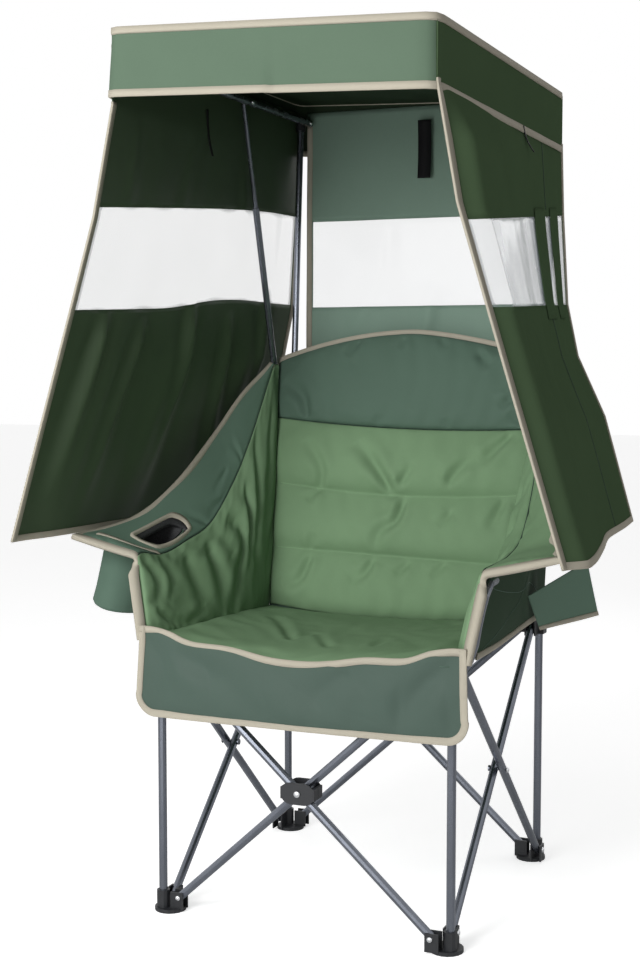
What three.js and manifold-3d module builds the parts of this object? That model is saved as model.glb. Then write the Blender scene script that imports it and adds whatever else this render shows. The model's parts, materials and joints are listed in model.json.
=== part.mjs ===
// Folding camp chair with a curtained canopy: a square scissor frame, a padded bucket seat and a tilting roof.
// Millimetres, +Z up. The chair faces -Y, and the origin lies on the floor under the middle of the whole.
import * as THREE from "three";
import { mergeVertices } from "three/addons/utils/BufferGeometryUtils.js";
import Module from "manifold-3d";

const wasm = await Module();
wasm.setup();

// Frame: the square of posts, and the tubes that cross between them.
const POST_SPAN_X = 570;
const POST_SPAN_Y = 582;
const TUBE_R = 8;
const TUBE_WALL = 1.2;
const TUBE_END = 5;
const PLANE_GAP = 1;
const PIVOT_OUT = 32;
const PIVOT_Z = 27;
const JOINT_Z = 490;
const PIN_R = 3;
const RUN = 0.3;
const OVERRUN = 2;
const TUBE_SEGMENTS = 5;
const ROD_SIDES = 12;

// Feet, sliding brackets and the black hub blocks.
const PLATE = 3;
const PLATE_GAP = 0.4;
const EAR = 10;
const FOOT_R = 30;
const FOOT_SHIFT = 10;
const FOOT_BASE = 7;
const FOOT_H = 40;
const FOOT_WALL = 4;
const FOOT_SIDES = 18;
const SADDLE_HALF = 13;
const SADDLE_LOW = 15;
const SADDLE_HIGH = 18;
const SADDLE_PLAY = 0.8;
const SADDLE_BACK = 9.5;
const HUB_W = 66;
const HUB_H = 40;
const HUB_END_W = 6;
const HUB_END_H = 22;

// Front posts lean outward over the sliders and turn back under the armrests.
const BEND_Z = 478;
const LEAN_LOW_X = 33;
const LEAN_LOW_Z = 50;
const LEAN_MID_X = 47;
const LEAN_MID_Z = 116;
const LEAN_TOP_X = 57;
const LEAN_TOP_Z = 157;
const TURN_X = 60;
const TURN_Y = 10;
const TURN_Z = 174;
const ARM_X = 61;
const ARM_Y = 40;
const ARM_Z = 179;
const ARM_TUBE_LENGTH = 8;
const POST_STEPS = 24;

// Rear posts, canopy poles and their clamps lie on one line that leans back.
const REAR_LEAN = 0.07;
const REAR_BEND_Z = 500;
const REAR_BEND_R = 60;
const REAR_POST_TOP = 860;
const POLE_R = 7;
const POLE_LOW = 700;
const POLE_TOP = 1568;
const CLAMP_Z = 941;
const CLAMP_H = 36;
const CLAMP_WALL = 4;
const STRUT_OUT = 35;
const CAP_WALL = 3;
const CAP_H = 24;

// Roof bars and telescopic struts.
const BAR_R = 7;
const BAR_UNDER = 8;
const BAR_LENGTH = 790;
const BAR_END = 12;
const STRUT_PIVOT = 305;
const STRUT_R = 7;
const STRUT_THIN_R = 4.5;
const STRUT_THIN_LENGTH = 330;
const STRUT_SHOWN = 221;

// Roof cloth.
const CLOTH = 2.4;
const SEAM = 0.5;
const ROOF_W = 604;
const ROOF_BEFORE = 14.2;
const ROOF_BEHIND = 26.8;
const ROOF_OVER = 26;
const VALANCE = 112;
const ROOF_SAG = 6;
const TAB_W = 60;
const TAB_AT = 120;

// Curtains.
const CURTAIN_BOTTOM = 706;
const FLARE_FRONT = 214;
const FLARE_BACK = 160;
const WAVE = 7;
const MARGIN = 14;
const PANE = 1.2;
const BACK_CURTAIN_W = 556;

// Seat, back and arms.
const SLING_Z = 512.5;
const SLING_SAG = 26;
const SLING_FLAT_X = 250;
const SLING_W = 574;
const SEAT_FRONT = 306;
const SEAT_DEPTH = 444;
const SEAT_W_FRONT = 594;
const SEAT_W_BACK = 520;
const SEAT_EDGE = 10;
const SEAT_CROWN = 20;
const BACK_FOOT_Y = 143;
const BACK_FOOT_Z = 515;
const BACK_SLOPE = 0.3072;
const BACK_W_LOW = 524;
const BACK_W_TOP = 622;
const BACK_SIDE_TOP = 1045;
const BACK_ARCH = 59;
const HEADREST_LOW = 897;
const PAD_EDGE = 7;
const PAD_CROWN = 17;
const HEADREST_CROWN = 24;
const SKIRT_Y = 315;
const SKIRT_W_TOP = 638;
const SKIRT_W_LOW = 612;
const SKIRT_TOP = 528;
const SKIRT_LOW = 364;
const SKIRT_CORNER = 46;
const SKIRT_BULGE = 8;
const SIDE_PAD_EDGE = 3;
const SIDE_PAD_CROWN = 13;
const WING_HALF = 3;
const WING_CROWN = 12;
const CUP_SIDES = 12;
const CUP_X = 424;
const CUP_Y = 165;
const CUP_HALF_X = 46;
const CUP_HALF_Y = 78;
const CUP_LOW = 545;
const CUP_ROUND = 16;
const FLAP_IN = 312.9;
const FLAP_OUT = 415;
const FLAP_Y = 97;
const FLAP_RUN = 61;
const FLAP_Z = 580;
const FLAP_RISE = 67;
const FLAP_H = 80;
const FLAP_H_OUT = 121;
const FLAP_SLANT = 88;
const FLAP_SLANT_OUT = 106;
const PANEL_START = 0.05;
const PANEL_UNDER = 0.215;

// Worked out from the sizes above.
const HALF_X = POST_SPAN_X / 2;
const HALF_Y = POST_SPAN_Y / 2;
const PLANE = TUBE_R + PLANE_GAP / 2;
const EAR_NEAR = TUBE_R + PLATE_GAP;
const EAR_FAR = EAR_NEAR + PLATE;
const CROSS_Z = (PIVOT_Z + JOINT_Z) / 2;
const BAR_Z = POLE_TOP - BAR_UNDER;
const rearY = (z) => HALF_Y + Math.max(0, z - REAR_BEND_Z) * REAR_LEAN;
const ROOF_BACK = rearY(BAR_Z) + ROOF_BEHIND;
const ROOF_FRONT = BAR_LENGTH - rearY(BAR_Z) + ROOF_BEFORE;
const ROOF_TOP = POLE_TOP + ROOF_OVER;
const ROOF_HALF = ROOF_W / 2;
const VALANCE_LOW = ROOF_TOP - VALANCE;
const CURTAIN_TOP = ROOF_TOP - CLOTH - ROOF_SAG - SEAM;
const DROP = VALANCE_LOW - CURTAIN_BOTTOM;
const BAR_IN = POLE_R + CAP_WALL + RUN + BAR_R + PLATE_GAP;

const V = (x, y, z) => new THREE.Vector3(x, y, z);
const mix = (a, b, t) => a + (b - a) * t;
const hump = (t) => Math.sin(Math.PI * t);
const sides = { left: -1, right: 1 };

// A closed geometry as a solid for joining and cutting, and back again.
function solid(geometry) {
  const bare = geometry.clone();
  bare.deleteAttribute("normal");
  bare.deleteAttribute("uv");
  const merged = mergeVertices(bare, 1e-3);
  return new wasm.Manifold(
    new wasm.Mesh({
      numProp: 3,
      vertProperties: merged.attributes.position.array,
      triVerts: new Uint32Array(merged.index.array),
    }),
  );
}

function surface(body) {
  const made = body.getMesh();
  const geometry = new THREE.BufferGeometry();
  geometry.setAttribute("position", new THREE.BufferAttribute(new Float32Array(made.vertProperties), 3));
  geometry.setIndex(new THREE.BufferAttribute(new Uint32Array(made.triVerts), 1));
  return geometry;
}

const join = (pieces) => pieces.slice(1).reduce((sum, piece) => sum.add(piece), pieces[0]);
const cut = (body, tools) => tools.reduce((left, tool) => left.subtract(tool), body);

// A round bar from a to b.
function rod(a, b, radius, count = ROD_SIDES) {
  const geometry = new THREE.CylinderGeometry(radius, radius, a.distanceTo(b), count);
  const turn = new THREE.Quaternion().setFromUnitVectors(V(0, 1, 0), b.clone().sub(a).normalize());
  geometry.applyQuaternion(turn);
  const middle = a.clone().add(b).multiplyScalar(0.5);
  return solid(geometry.translate(middle.x, middle.y, middle.z));
}

// A box between two corners, given in any order.
function block(x0, x1, y0, y1, z0, z1) {
  const geometry = new THREE.BoxGeometry(Math.abs(x1 - x0), Math.abs(y1 - y0), Math.abs(z1 - z0));
  return solid(geometry.translate((x0 + x1) / 2, (y0 + y1) / 2, (z0 + z1) / 2));
}

// An open-ended tube along a curve.
function pipe(curve, radius, steps, wall = TUBE_WALL) {
  const ring = new THREE.Shape();
  ring.absarc(0, 0, radius, 0, 2 * Math.PI, false);
  const bore = new THREE.Path();
  bore.absarc(0, 0, radius - wall, 0, 2 * Math.PI, true);
  ring.holes.push(bore);
  return new THREE.ExtrudeGeometry(ring, {
    extrudePath: curve,
    steps,
    curveSegments: TUBE_SEGMENTS,
    bevelEnabled: false,
  });
}

const straightPipe = (a, b, radius) => pipe(new THREE.LineCurve3(a, b), radius, 1);

// A smooth line through points.
const smooth = (points) => new THREE.CatmullRomCurve3(points, false, "centripetal");

// A cloth or a pad: a grid of points on a surface, with a thickness on each side of it. Cells that keep refuses
// are open. The front side is the one that across x along points to.
function slab({ us, vs, at, back, front, keep = () => true }) {
  const step = 1e-3;
  const points = us.map((u) => vs.map((v) => at(u, v)));
  const normals = us.map((u) =>
    vs.map((v) => {
      const across = at(u + step, v).sub(at(u - step, v));
      const along = at(u, v + step).sub(at(u, v - step));
      return across.cross(along).normalize();
    }),
  );
  const positions = [];
  const index = new Map();
  const corner = (i, j, side) => {
    const key = (i * vs.length + j) * 2 + side;
    if (!index.has(key)) {
      const off = side ? front(us[i], vs[j]) : -back(us[i], vs[j]);
      const p = points[i][j].clone().addScaledVector(normals[i][j], off);
      index.set(key, positions.length / 3);
      positions.push(p.x, p.y, p.z);
    }
    return index.get(key);
  };
  const cell = (i, j) =>
    i >= 0 && j >= 0 && i < us.length - 1 && j < vs.length - 1 &&
    keep((us[i] + us[i + 1]) / 2, (vs[j] + vs[j + 1]) / 2);
  const faces = [];
  const quad = (a, b, c, d) => faces.push(a, b, c, a, c, d);
  for (let i = 0; i < us.length - 1; i++) {
    for (let j = 0; j < vs.length - 1; j++) {
      if (!cell(i, j)) continue;
      quad(corner(i, j, 1), corner(i + 1, j, 1), corner(i + 1, j + 1, 1), corner(i, j + 1, 1));
      quad(corner(i, j, 0), corner(i, j + 1, 0), corner(i + 1, j + 1, 0), corner(i + 1, j, 0));
      if (!cell(i - 1, j)) quad(corner(i, j + 1, 1), corner(i, j + 1, 0), corner(i, j, 0), corner(i, j, 1));
      if (!cell(i + 1, j)) quad(corner(i + 1, j, 1), corner(i + 1, j, 0), corner(i + 1, j + 1, 0), corner(i + 1, j + 1, 1));
      if (!cell(i, j - 1)) quad(corner(i, j, 1), corner(i, j, 0), corner(i + 1, j, 0), corner(i + 1, j, 1));
      if (!cell(i, j + 1)) quad(corner(i + 1, j + 1, 1), corner(i + 1, j + 1, 0), corner(i, j + 1, 0), corner(i, j + 1, 1));
    }
  }
  const geometry = new THREE.BufferGeometry();
  geometry.setAttribute("position", new THREE.BufferAttribute(new Float32Array(positions), 3));
  geometry.setIndex(faces);
  return geometry;
}

const spread = (from, to, count) => Array.from({ length: count + 1 }, (_, i) => mix(from, to, i / count));
const merge = (...lists) => [...new Set(lists.flat().map((t) => Math.round(t * 1e5) / 1e5))].sort((a, b) => a - b);
const half = () => CLOTH / 2;

// Reads a table of [share, value] pairs by straight lines.
function read(table, t) {
  const k = Math.max(1, table.findIndex(([share]) => share >= t));
  const [[t0, a], [t1, b]] = [table[k - 1], table[k]];
  return mix(a, b, (t - t0) / (t1 - t0));
}

const finish = (color, roughness, metalness) => new THREE.MeshStandardMaterial({ color, roughness, metalness });
const finishes = {
  tube: finish(0x4e535f, 0.35, 0.85),
  plastic: finish(0x17181a, 0.55, 0),
  cushion: finish(0x6a8b60, 0.8, 0),
  panel: finish(0x48624f, 0.75, 0),
  skirt: finish(0x526e5c, 0.7, 0),
  roof: finish(0x5f8062, 0.7, 0),
  curtain: finish(0x2b4533, 0.75, 0),
  window: finish(0xe8ebf0, 0.15, 0),
};

const chair = new THREE.Group();
function add(name, geometry, material) {
  const mesh = new THREE.Mesh(geometry, finishes[material]);
  mesh.name = name;
  chair.add(mesh);
}

// Where a tube's plane lies against its post: +1 is outside the square and -1 inside it.
const faceTubes = {
  front_tube_rising_right: { low: -1, face: -1, plane: -1, bored: true },
  front_tube_rising_left: { low: 1, face: -1, plane: 1, bored: true },
  rear_tube_rising_right: { low: -1, face: 1, plane: 1, bored: false },
  rear_tube_rising_left: { low: 1, face: 1, plane: -1, bored: false },
};
const sideTubes = {
  left_tube_rising_back: { side: -1, low: -1, plane: -1, bored: true },
  left_tube_rising_front: { side: -1, low: 1, plane: 1, bored: false },
  right_tube_rising_back: { side: 1, low: -1, plane: -1, bored: true },
  right_tube_rising_front: { side: 1, low: 1, plane: 1, bored: false },
};

// One crossing tube between two pivots, with a hole for each pin that goes through it.
function crossTube(low, high, pinAxis, bored, centreBored) {
  const way = high.clone().sub(low).normalize();
  const start = low.clone().addScaledVector(way, -TUBE_END);
  const end = high.clone().addScaledVector(way, TUBE_END);
  const holes = [low];
  if (bored) holes.push(high);
  if (centreBored) holes.push(low.clone().add(high).multiplyScalar(0.5));
  const reach = TUBE_R + OVERRUN;
  const drills = holes.map((p) =>
    rod(p.clone().addScaledVector(pinAxis, -reach), p.clone().addScaledVector(pinAxis, reach), PIN_R + RUN),
  );
  return surface(cut(solid(straightPipe(start, end, TUBE_R)), drills));
}

for (const [name, t] of Object.entries(faceTubes)) {
  const y = t.face * (HALF_Y + t.plane * PLANE);
  const low = V(t.low * (HALF_X - PIVOT_OUT), y, PIVOT_Z);
  const high = V(-t.low * (HALF_X - PIVOT_OUT), y, JOINT_Z);
  add(name, crossTube(low, high, V(0, 1, 0), t.bored, true), "tube");
}
for (const [name, t] of Object.entries(sideTubes)) {
  const x = t.side * (HALF_X + t.plane * PLANE);
  const low = V(x, t.low * (HALF_Y - PIVOT_OUT), PIVOT_Z);
  const high = V(x, -t.low * (HALF_Y - PIVOT_OUT), JOINT_Z);
  add(name, crossTube(low, high, V(1, 0, 0), t.bored, t.bored), "tube");
}

// Two plates and a pin that hold the end of a face tube. The plates run inward from the post.
function faceEars(sx, sy, plane, z0, z1, z, from) {
  const y = sy * (HALF_Y + plane * PLANE);
  const x = sx * (HALF_X - PIVOT_OUT);
  const near = sx * (HALF_X - from);
  const far = x - sx * EAR;
  return [
    block(near, far, y - EAR_FAR, y - EAR_NEAR, z0, z1),
    block(near, far, y + EAR_NEAR, y + EAR_FAR, z0, z1),
    rod(V(x, y - EAR_FAR, z), V(x, y + EAR_FAR, z), PIN_R),
  ];
}

function sideEars(sx, sy, plane, z0, z1, z, from) {
  const x = sx * (HALF_X + plane * PLANE);
  const y = sy * (HALF_Y - PIVOT_OUT);
  const near = sy * (HALF_Y - from);
  const far = y - sy * EAR;
  return [
    block(x - EAR_FAR, x - EAR_NEAR, near, far, z0, z1),
    block(x + EAR_NEAR, x + EAR_FAR, near, far, z0, z1),
    rod(V(x - EAR_FAR, y, z), V(x + EAR_FAR, y, z), PIN_R),
  ];
}

const corners = {
  front_left: { sx: -1, sy: -1, facePlane: -1, sidePlane: -1 },
  front_right: { sx: 1, sy: -1, facePlane: 1, sidePlane: -1 },
  rear_left: { sx: -1, sy: 1, facePlane: 1, sidePlane: 1 },
  rear_right: { sx: 1, sy: 1, facePlane: -1, sidePlane: 1 },
};

// Foot: a round base, a socket for the post, and ears for the two tubes that start at it.
function foot({ sx, sy, facePlane, sidePlane }) {
  const x = sx * HALF_X;
  const y = sy * HALF_Y;
  const baseX = x - sx * FOOT_SHIFT;
  const baseY = y - sy * FOOT_SHIFT;
  const earTop = FOOT_H - PLATE;
  const lip = FOOT_BASE / 2;
  const from = TUBE_R + FOOT_WALL;
  const body = join([
    rod(V(baseX, baseY, 0), V(baseX, baseY, FOOT_BASE), FOOT_R, FOOT_SIDES),
    rod(V(x, y, lip), V(x, y, FOOT_H), TUBE_R + RUN + FOOT_WALL),
    ...faceEars(sx, sy, facePlane, lip, earTop, PIVOT_Z, from + FOOT_WALL),
    ...sideEars(sx, sy, sidePlane, lip, earTop, PIVOT_Z, from + FOOT_WALL),
  ]);
  const socket = rod(V(x, y, FOOT_BASE), V(x, y, FOOT_H + OVERRUN), TUBE_R + RUN);
  return surface(cut(body, [socket]));
}

for (const [name, c] of Object.entries(corners)) add(name + "_foot", foot(c), "plastic");

// The middle line of a front post, from its foot to the end of the arm tube.
function frontPostLine(sx) {
  const x = (out) => sx * (HALF_X + out);
  const path = new THREE.CurvePath();
  const start = V(x(0), -HALF_Y, FOOT_BASE + RUN);
  const bend = V(x(0), -HALF_Y, BEND_Z);
  path.add(new THREE.LineCurve3(start, bend));
  path.add(
    smooth([
      bend,
      V(x(LEAN_LOW_X), -HALF_Y, BEND_Z + LEAN_LOW_Z),
      V(x(LEAN_MID_X), -HALF_Y, BEND_Z + LEAN_MID_Z),
      V(x(LEAN_TOP_X), -HALF_Y, BEND_Z + LEAN_TOP_Z),
      V(x(TURN_X), TURN_Y - HALF_Y, BEND_Z + TURN_Z),
      V(x(ARM_X), ARM_Y - HALF_Y, BEND_Z + ARM_Z),
      V(x(ARM_X), ARM_Y + ARM_TUBE_LENGTH - HALF_Y, BEND_Z + ARM_Z),
    ]),
  );
  return path;
}

// How far the leaning part of a front post stands outside its foot at a height.
const leanTable = [
  [BEND_Z, 0],
  [BEND_Z + LEAN_LOW_Z, LEAN_LOW_X],
  [BEND_Z + LEAN_MID_Z, LEAN_MID_X],
  [BEND_Z + LEAN_TOP_Z, LEAN_TOP_X],
  [BEND_Z + TURN_Z, TURN_X],
  [BEND_Z + ARM_Z, ARM_X],
];
const lean = (z) => read(leanTable, z);

const rearWay = V(0, REAR_LEAN, 1).normalize();

for (const [side, sx] of Object.entries(sides)) {
  add(side + "_front_post", pipe(frontPostLine(sx), TUBE_R, POST_STEPS), "tube");

  const x = sx * HALF_X;
  const rear = new THREE.CurvePath();
  const low = V(x, HALF_Y, REAR_BEND_Z - REAR_BEND_R);
  const high = V(x, rearY(REAR_BEND_Z + REAR_BEND_R), REAR_BEND_Z + REAR_BEND_R);
  rear.add(new THREE.LineCurve3(V(x, HALF_Y, FOOT_BASE + RUN), low));
  rear.add(new THREE.QuadraticBezierCurve3(low, V(x, HALF_Y, REAR_BEND_Z), high));
  rear.add(new THREE.LineCurve3(high, V(x, rearY(REAR_POST_TOP), REAR_POST_TOP)));
  add(side + "_rear_post", pipe(rear, TUBE_R, POST_STEPS / 2), "tube");
}

// Sliding bracket: a saddle, open outward, that rides on the post and holds the upper ends of two tubes. The
// tube that is pinned to it sits between two ears, and the other end lies beside one plate.
function slider({ sx, sy, facePlane, sidePlane }) {
  const x = sx * HALF_X;
  const y = sy * HALF_Y;
  const z0 = JOINT_Z - SADDLE_LOW;
  const z1 = JOINT_Z + SADDLE_HIGH;
  const inside = SADDLE_HALF;
  const slot = TUBE_R + SADDLE_PLAY;
  const far = SADDLE_HALF + OVERRUN;
  const pieces = [];
  let opening;
  if (sy < 0) {
    const plane = -facePlane;
    const yTube = y - plane * PLANE;
    pieces.push(block(x - sx * inside, x + sx * SADDLE_HALF, y - inside, y + inside, z0, z1));
    pieces.push(...faceEars(sx, sy, plane, z0, z1, JOINT_Z, 0));
    pieces.push(block(x, x - sx * inside, yTube - EAR_FAR, yTube + EAR_FAR, z0, z1));
    const xPlate = sx * (HALF_X + PLANE - EAR_NEAR);
    const reach = y + PIVOT_OUT + EAR;
    const root = plane > 0 ? y : yTube + EAR_NEAR;
    pieces.push(block(xPlate, xPlate - sx * PLATE, root, reach, z0, z1));
    opening = block(x - sx * SADDLE_BACK, x + sx * far, y - slot, y + slot, z0 - OVERRUN, z1 + OVERRUN);
  } else {
    const plane = -sidePlane;
    pieces.push(block(x - inside, x + inside, y - inside, y + SADDLE_HALF, z0, z1));
    pieces.push(...sideEars(sx, sy, plane, z0, z1, JOINT_Z, TUBE_R));
    const xTube = sx * (HALF_X + plane * PLANE);
    pieces.push(block(xTube - EAR_FAR, xTube + EAR_FAR, y - inside, y - TUBE_R + PLATE, z0, z1));
    const yTube = y - facePlane * PLANE;
    const yPlate = facePlane > 0 ? yTube + EAR_NEAR : yTube - EAR_NEAR;
    pieces.push(block(x, x - sx * (PIVOT_OUT + EAR), yPlate, yPlate + facePlane * PLATE, z0, z1));
    opening = block(x - slot, x + slot, y - SADDLE_BACK, y + far, z0 - OVERRUN, z1 + OVERRUN);
  }
  return surface(cut(join(pieces), [opening]));
}

for (const [name, c] of Object.entries(corners)) add(name + "_slider", slider(c), "plastic");

// Hub: two half shells over the front and the rear crossing. Each is pinned to its own tube.
function hubHalf(face, outer) {
  const out = outer ? face : -face;
  const y = face * HALF_Y + out * PLANE;
  const far = y + out * EAR_FAR;
  const near = y + out * EAR_NEAR;
  const meeting = face * HALF_Y + (out * PLANE_GAP) / 2;
  const z = CROSS_Z;
  const top = HUB_H / 2;
  const endTop = HUB_END_H / 2;
  const outline = new THREE.Shape();
  const straight = HUB_W / 2 - top;
  outline.moveTo(-straight, -top);
  outline.lineTo(straight, -top);
  outline.absarc(straight, 0, top, -Math.PI / 2, Math.PI / 2, false);
  outline.lineTo(-straight, top);
  outline.absarc(-straight, 0, top, Math.PI / 2, (3 * Math.PI) / 2, false);
  const plate = new THREE.ExtrudeGeometry(outline, { depth: PLATE, bevelEnabled: false, curveSegments: TUBE_SEGMENTS });
  plate.rotateX(Math.PI / 2);
  plate.translate(0, Math.max(near, far), z);
  const ends = [-1, 1].map((s) =>
    block((s * HUB_W) / 2, s * (HUB_W / 2 - HUB_END_W), far, meeting, z - endTop, z + endTop),
  );
  const pin = rod(V(0, far, z), V(0, meeting, z), PIN_R);
  return surface(join([solid(plate), ...ends, pin]));
}

for (const [name, face] of Object.entries({ front: -1, rear: 1 })) {
  add(name + "_hub_outer_half", hubHalf(face, true), "plastic");
  add(name + "_hub_inner_half", hubHalf(face, false), "plastic");
}

// Side crossing rivet: its shank goes through the inner tube, and its head lies against that tube.
for (const [side, sx] of Object.entries(sides)) {
  const x = sx * (HALF_X - PLANE);
  const head = x - sx * (TUBE_R + RUN);
  const rivet = join([
    rod(V(head - sx * PLATE, 0, CROSS_Z), V(head, 0, CROSS_Z), 2 * PIN_R),
    rod(V(head - sx * PLATE, 0, CROSS_Z), V(x + sx * TUBE_R, 0, CROSS_Z), PIN_R),
  ]);
  add(side + "_crossing_rivet", surface(rivet), "tube");
}

// Canopy poles, the strut clamps on them, the caps at their tops, the roof bars and the struts.
function canopyFrame(side, sx) {
  const x = sx * HALF_X;
  const along = (z, y = 0) => V(x, rearY(z) + y, z);
  const flat = Math.cos(Math.PI / (2 * TUBE_SEGMENTS));
  const sleeve = (TUBE_R - TUBE_WALL) * flat - RUN;
  const step = REAR_POST_TOP + RUN;
  const lower = rod(along(POLE_LOW), along(step + OVERRUN), sleeve);
  const upper = rod(along(step), along(POLE_TOP), POLE_R);
  const bore = rod(along(POLE_LOW - OVERRUN), along(POLE_TOP + OVERRUN), sleeve - TUBE_WALL);
  add(side + "_canopy_pole", surface(cut(join([lower, upper]), [bore])), "tube");

  const barX = x - sx * BAR_IN;
  const hinge = V(barX, rearY(BAR_Z), BAR_Z);
  const pivot = V(x + sx * STRUT_OUT, rearY(CLAMP_Z), CLAMP_Z);
  const top = V(barX - sx * -(BAR_R + STRUT_THIN_R + RUN * 2), hinge.y - STRUT_PIVOT, BAR_Z);
  const way = top.clone().sub(pivot).normalize();

  const clampR = POLE_R + RUN + CLAMP_WALL;
  const ring = rod(along(CLAMP_Z - CLAMP_H / 2), along(CLAMP_Z + CLAMP_H / 2), clampR);
  const earNear = STRUT_R + 2 * SADDLE_PLAY;
  const earY = [pivot.y - EAR, pivot.y + EAR];
  const earZ = [CLAMP_Z - EAR, CLAMP_Z + EAR];
  const earX = (s, off) => pivot.x + s * sx * off;
  const reach = earNear + PLATE;
  const below = pivot.z - EAR - PLATE;
  const pieces = [
    ring,
    block(earX(-1, earNear), earX(-1, reach), ...earY, below - PLATE, earZ[1]),
    block(earX(1, earNear), earX(1, reach), ...earY, below - PLATE, earZ[1]),
    block(x + sx * POLE_R, earX(1, reach), ...earY, below - PLATE, below),
    rod(V(pivot.x - reach, pivot.y, CLAMP_Z), V(pivot.x + reach, pivot.y, CLAMP_Z), PIN_R),
  ];
  const hole = rod(along(CLAMP_Z - CLAMP_H), along(CLAMP_Z + CLAMP_H), POLE_R + RUN);
  add(side + "_strut_clamp", surface(cut(join(pieces), [hole])), "plastic");

  const capR = POLE_R + RUN + CAP_WALL;
  const capBore = rod(along(POLE_TOP - CAP_H - OVERRUN), along(POLE_TOP + RUN), POLE_R + RUN);
  const cup = cut(rod(along(POLE_TOP - CAP_H), along(POLE_TOP + CAP_WALL), capR), [capBore]);
  const pinFrom = x - sx * (POLE_R + RUN + CAP_WALL / 2);
  const pin = rod(V(pinFrom, hinge.y, BAR_Z), V(barX - sx * (BAR_R + PLATE), hinge.y, BAR_Z), PIN_R);
  add(side + "_pole_cap", surface(join([cup, pin])), "plastic");

  const barStart = V(barX, hinge.y + BAR_END, BAR_Z);
  const barEnd = V(barX, hinge.y - BAR_LENGTH, BAR_Z);
  const through = TUBE_R + OVERRUN;
  const barHole = rod(V(barX - through, hinge.y, BAR_Z), V(barX + through, hinge.y, BAR_Z), PIN_R + RUN);
  add(side + "_roof_bar", surface(cut(solid(straightPipe(barStart, barEnd, BAR_R)), [barHole])), "tube");

  const total = top.distanceTo(pivot);
  const collar = pivot.clone().addScaledVector(way, total - STRUT_SHOWN);
  const start = pivot.clone().addScaledVector(way, -EAR);
  const strutHole = rod(V(pivot.x - through, pivot.y, CLAMP_Z), V(pivot.x + through, pivot.y, CLAMP_Z), PIN_R + RUN);
  add(side + "_lower_strut", surface(cut(solid(straightPipe(start, collar, STRUT_R)), [strutHole])), "tube");
  const end = top.clone().addScaledVector(way, TUBE_END);
  const thin = end.clone().addScaledVector(way, -STRUT_THIN_LENGTH);
  add(side + "_upper_strut", straightPipe(thin, end, STRUT_THIN_R), "tube");
}

for (const [side, sx] of Object.entries(sides)) canopyFrame(side, sx);

// Roof cap: one cloth with a slightly sagging top, four valances, and tabs inside that loop down to the bars.
function roofShell(inset, low) {
  const x = ROOF_HALF - inset;
  const front = -ROOF_FRONT + inset;
  const back = ROOF_BACK - inset;
  const top = ROOF_TOP - inset;
  const shares = spread(0, 1, 8);
  const positions = [];
  const faces = [];
  const n = shares.length;
  for (const level of [0, 1]) {
    for (const u of shares) {
      for (const v of shares) {
        const sag = ROOF_SAG * hump(u) * hump(v);
        positions.push(mix(-x, x, u), mix(front, back, v), level ? top - sag : low);
      }
    }
  }
  const at = (i, j, level) => level * n * n + i * n + j;
  const quad = (a, b, c, d) => faces.push(a, b, c, a, c, d);
  for (let i = 0; i < n - 1; i++) {
    for (let j = 0; j < n - 1; j++) {
      quad(at(i, j, 1), at(i + 1, j, 1), at(i + 1, j + 1, 1), at(i, j + 1, 1));
      quad(at(i, j, 0), at(i, j + 1, 0), at(i + 1, j + 1, 0), at(i + 1, j, 0));
    }
    quad(at(i, 0, 0), at(i + 1, 0, 0), at(i + 1, 0, 1), at(i, 0, 1));
    quad(at(i + 1, n - 1, 0), at(i, n - 1, 0), at(i, n - 1, 1), at(i + 1, n - 1, 1));
    quad(at(0, i + 1, 0), at(0, i, 0), at(0, i, 1), at(0, i + 1, 1));
    quad(at(n - 1, i, 0), at(n - 1, i + 1, 0), at(n - 1, i + 1, 1), at(n - 1, i, 1));
  }
  const geometry = new THREE.BufferGeometry();
  geometry.setAttribute("position", new THREE.BufferAttribute(new Float32Array(positions), 3));
  geometry.setIndex(faces);
  return solid(geometry);
}

function roofCap() {
  const shell = cut(roofShell(0, VALANCE_LOW), [roofShell(CLOTH, VALANCE_LOW - OVERRUN)]);
  const barX = HALF_X - BAR_IN;
  const tabLow = BAR_Z + BAR_R + RUN;
  const tabs = [];
  for (const sx of Object.values(sides)) {
    for (const y of [TAB_AT - ROOF_FRONT, ROOF_BACK - 2 * TAB_AT]) {
      tabs.push(block(sx * barX - half(), sx * barX + half(), y, y + TAB_W, tabLow, ROOF_TOP - 3 * SEAM));
    }
  }
  return surface(join([shell, ...tabs]));
}
add("roof_cap", roofCap(), "roof");

// How far a side curtain stands outside the roof's edge, as shares of its whole flare, against shares of its drop.
const frontFlareShares = [[0, 0], [0.25, 0.17], [0.46, 0.4], [1, 1]];
const backFlareShares = [[0, 0], [0.18, 0.03], [0.42, 0.13], [0.69, 0.58], [1, 1]];
const windowTopShares = [0.25, 0.16];
const windowLowShares = [0.458, 0.414];
const HANG = VALANCE - CLOTH - ROOF_SAG - SEAM;

// A point of a side curtain: u from its front edge to its back edge, v from the roof to the hem.
function curtainPoint(sx, u, v) {
  const inner = ROOF_HALF - CLOTH - SEAM - half();
  const z = mix(CURTAIN_TOP, CURTAIN_BOTTOM, v);
  const drop = Math.min(1, Math.max(0, (VALANCE_LOW - z) / DROP));
  const flare = mix(FLARE_FRONT * read(frontFlareShares, drop), FLARE_BACK * read(backFlareShares, drop), u);
  const wave = WAVE * drop * Math.sin(5 * Math.PI * u + drop);
  const y = mix(-ROOF_FRONT + CLOTH + SEAM, ROOF_BACK - 3 * CLOTH, u);
  return V(sx * (inner + flare + wave), y, z);
}

const shareOfHang = (drop) => (drop * DROP + HANG) / (DROP + HANG);
const windowEdge = (shares, u) => shareOfHang(mix(shares[0], shares[1], u));
const CURTAIN_LENGTH = ROOF_FRONT + ROOF_BACK;

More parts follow.
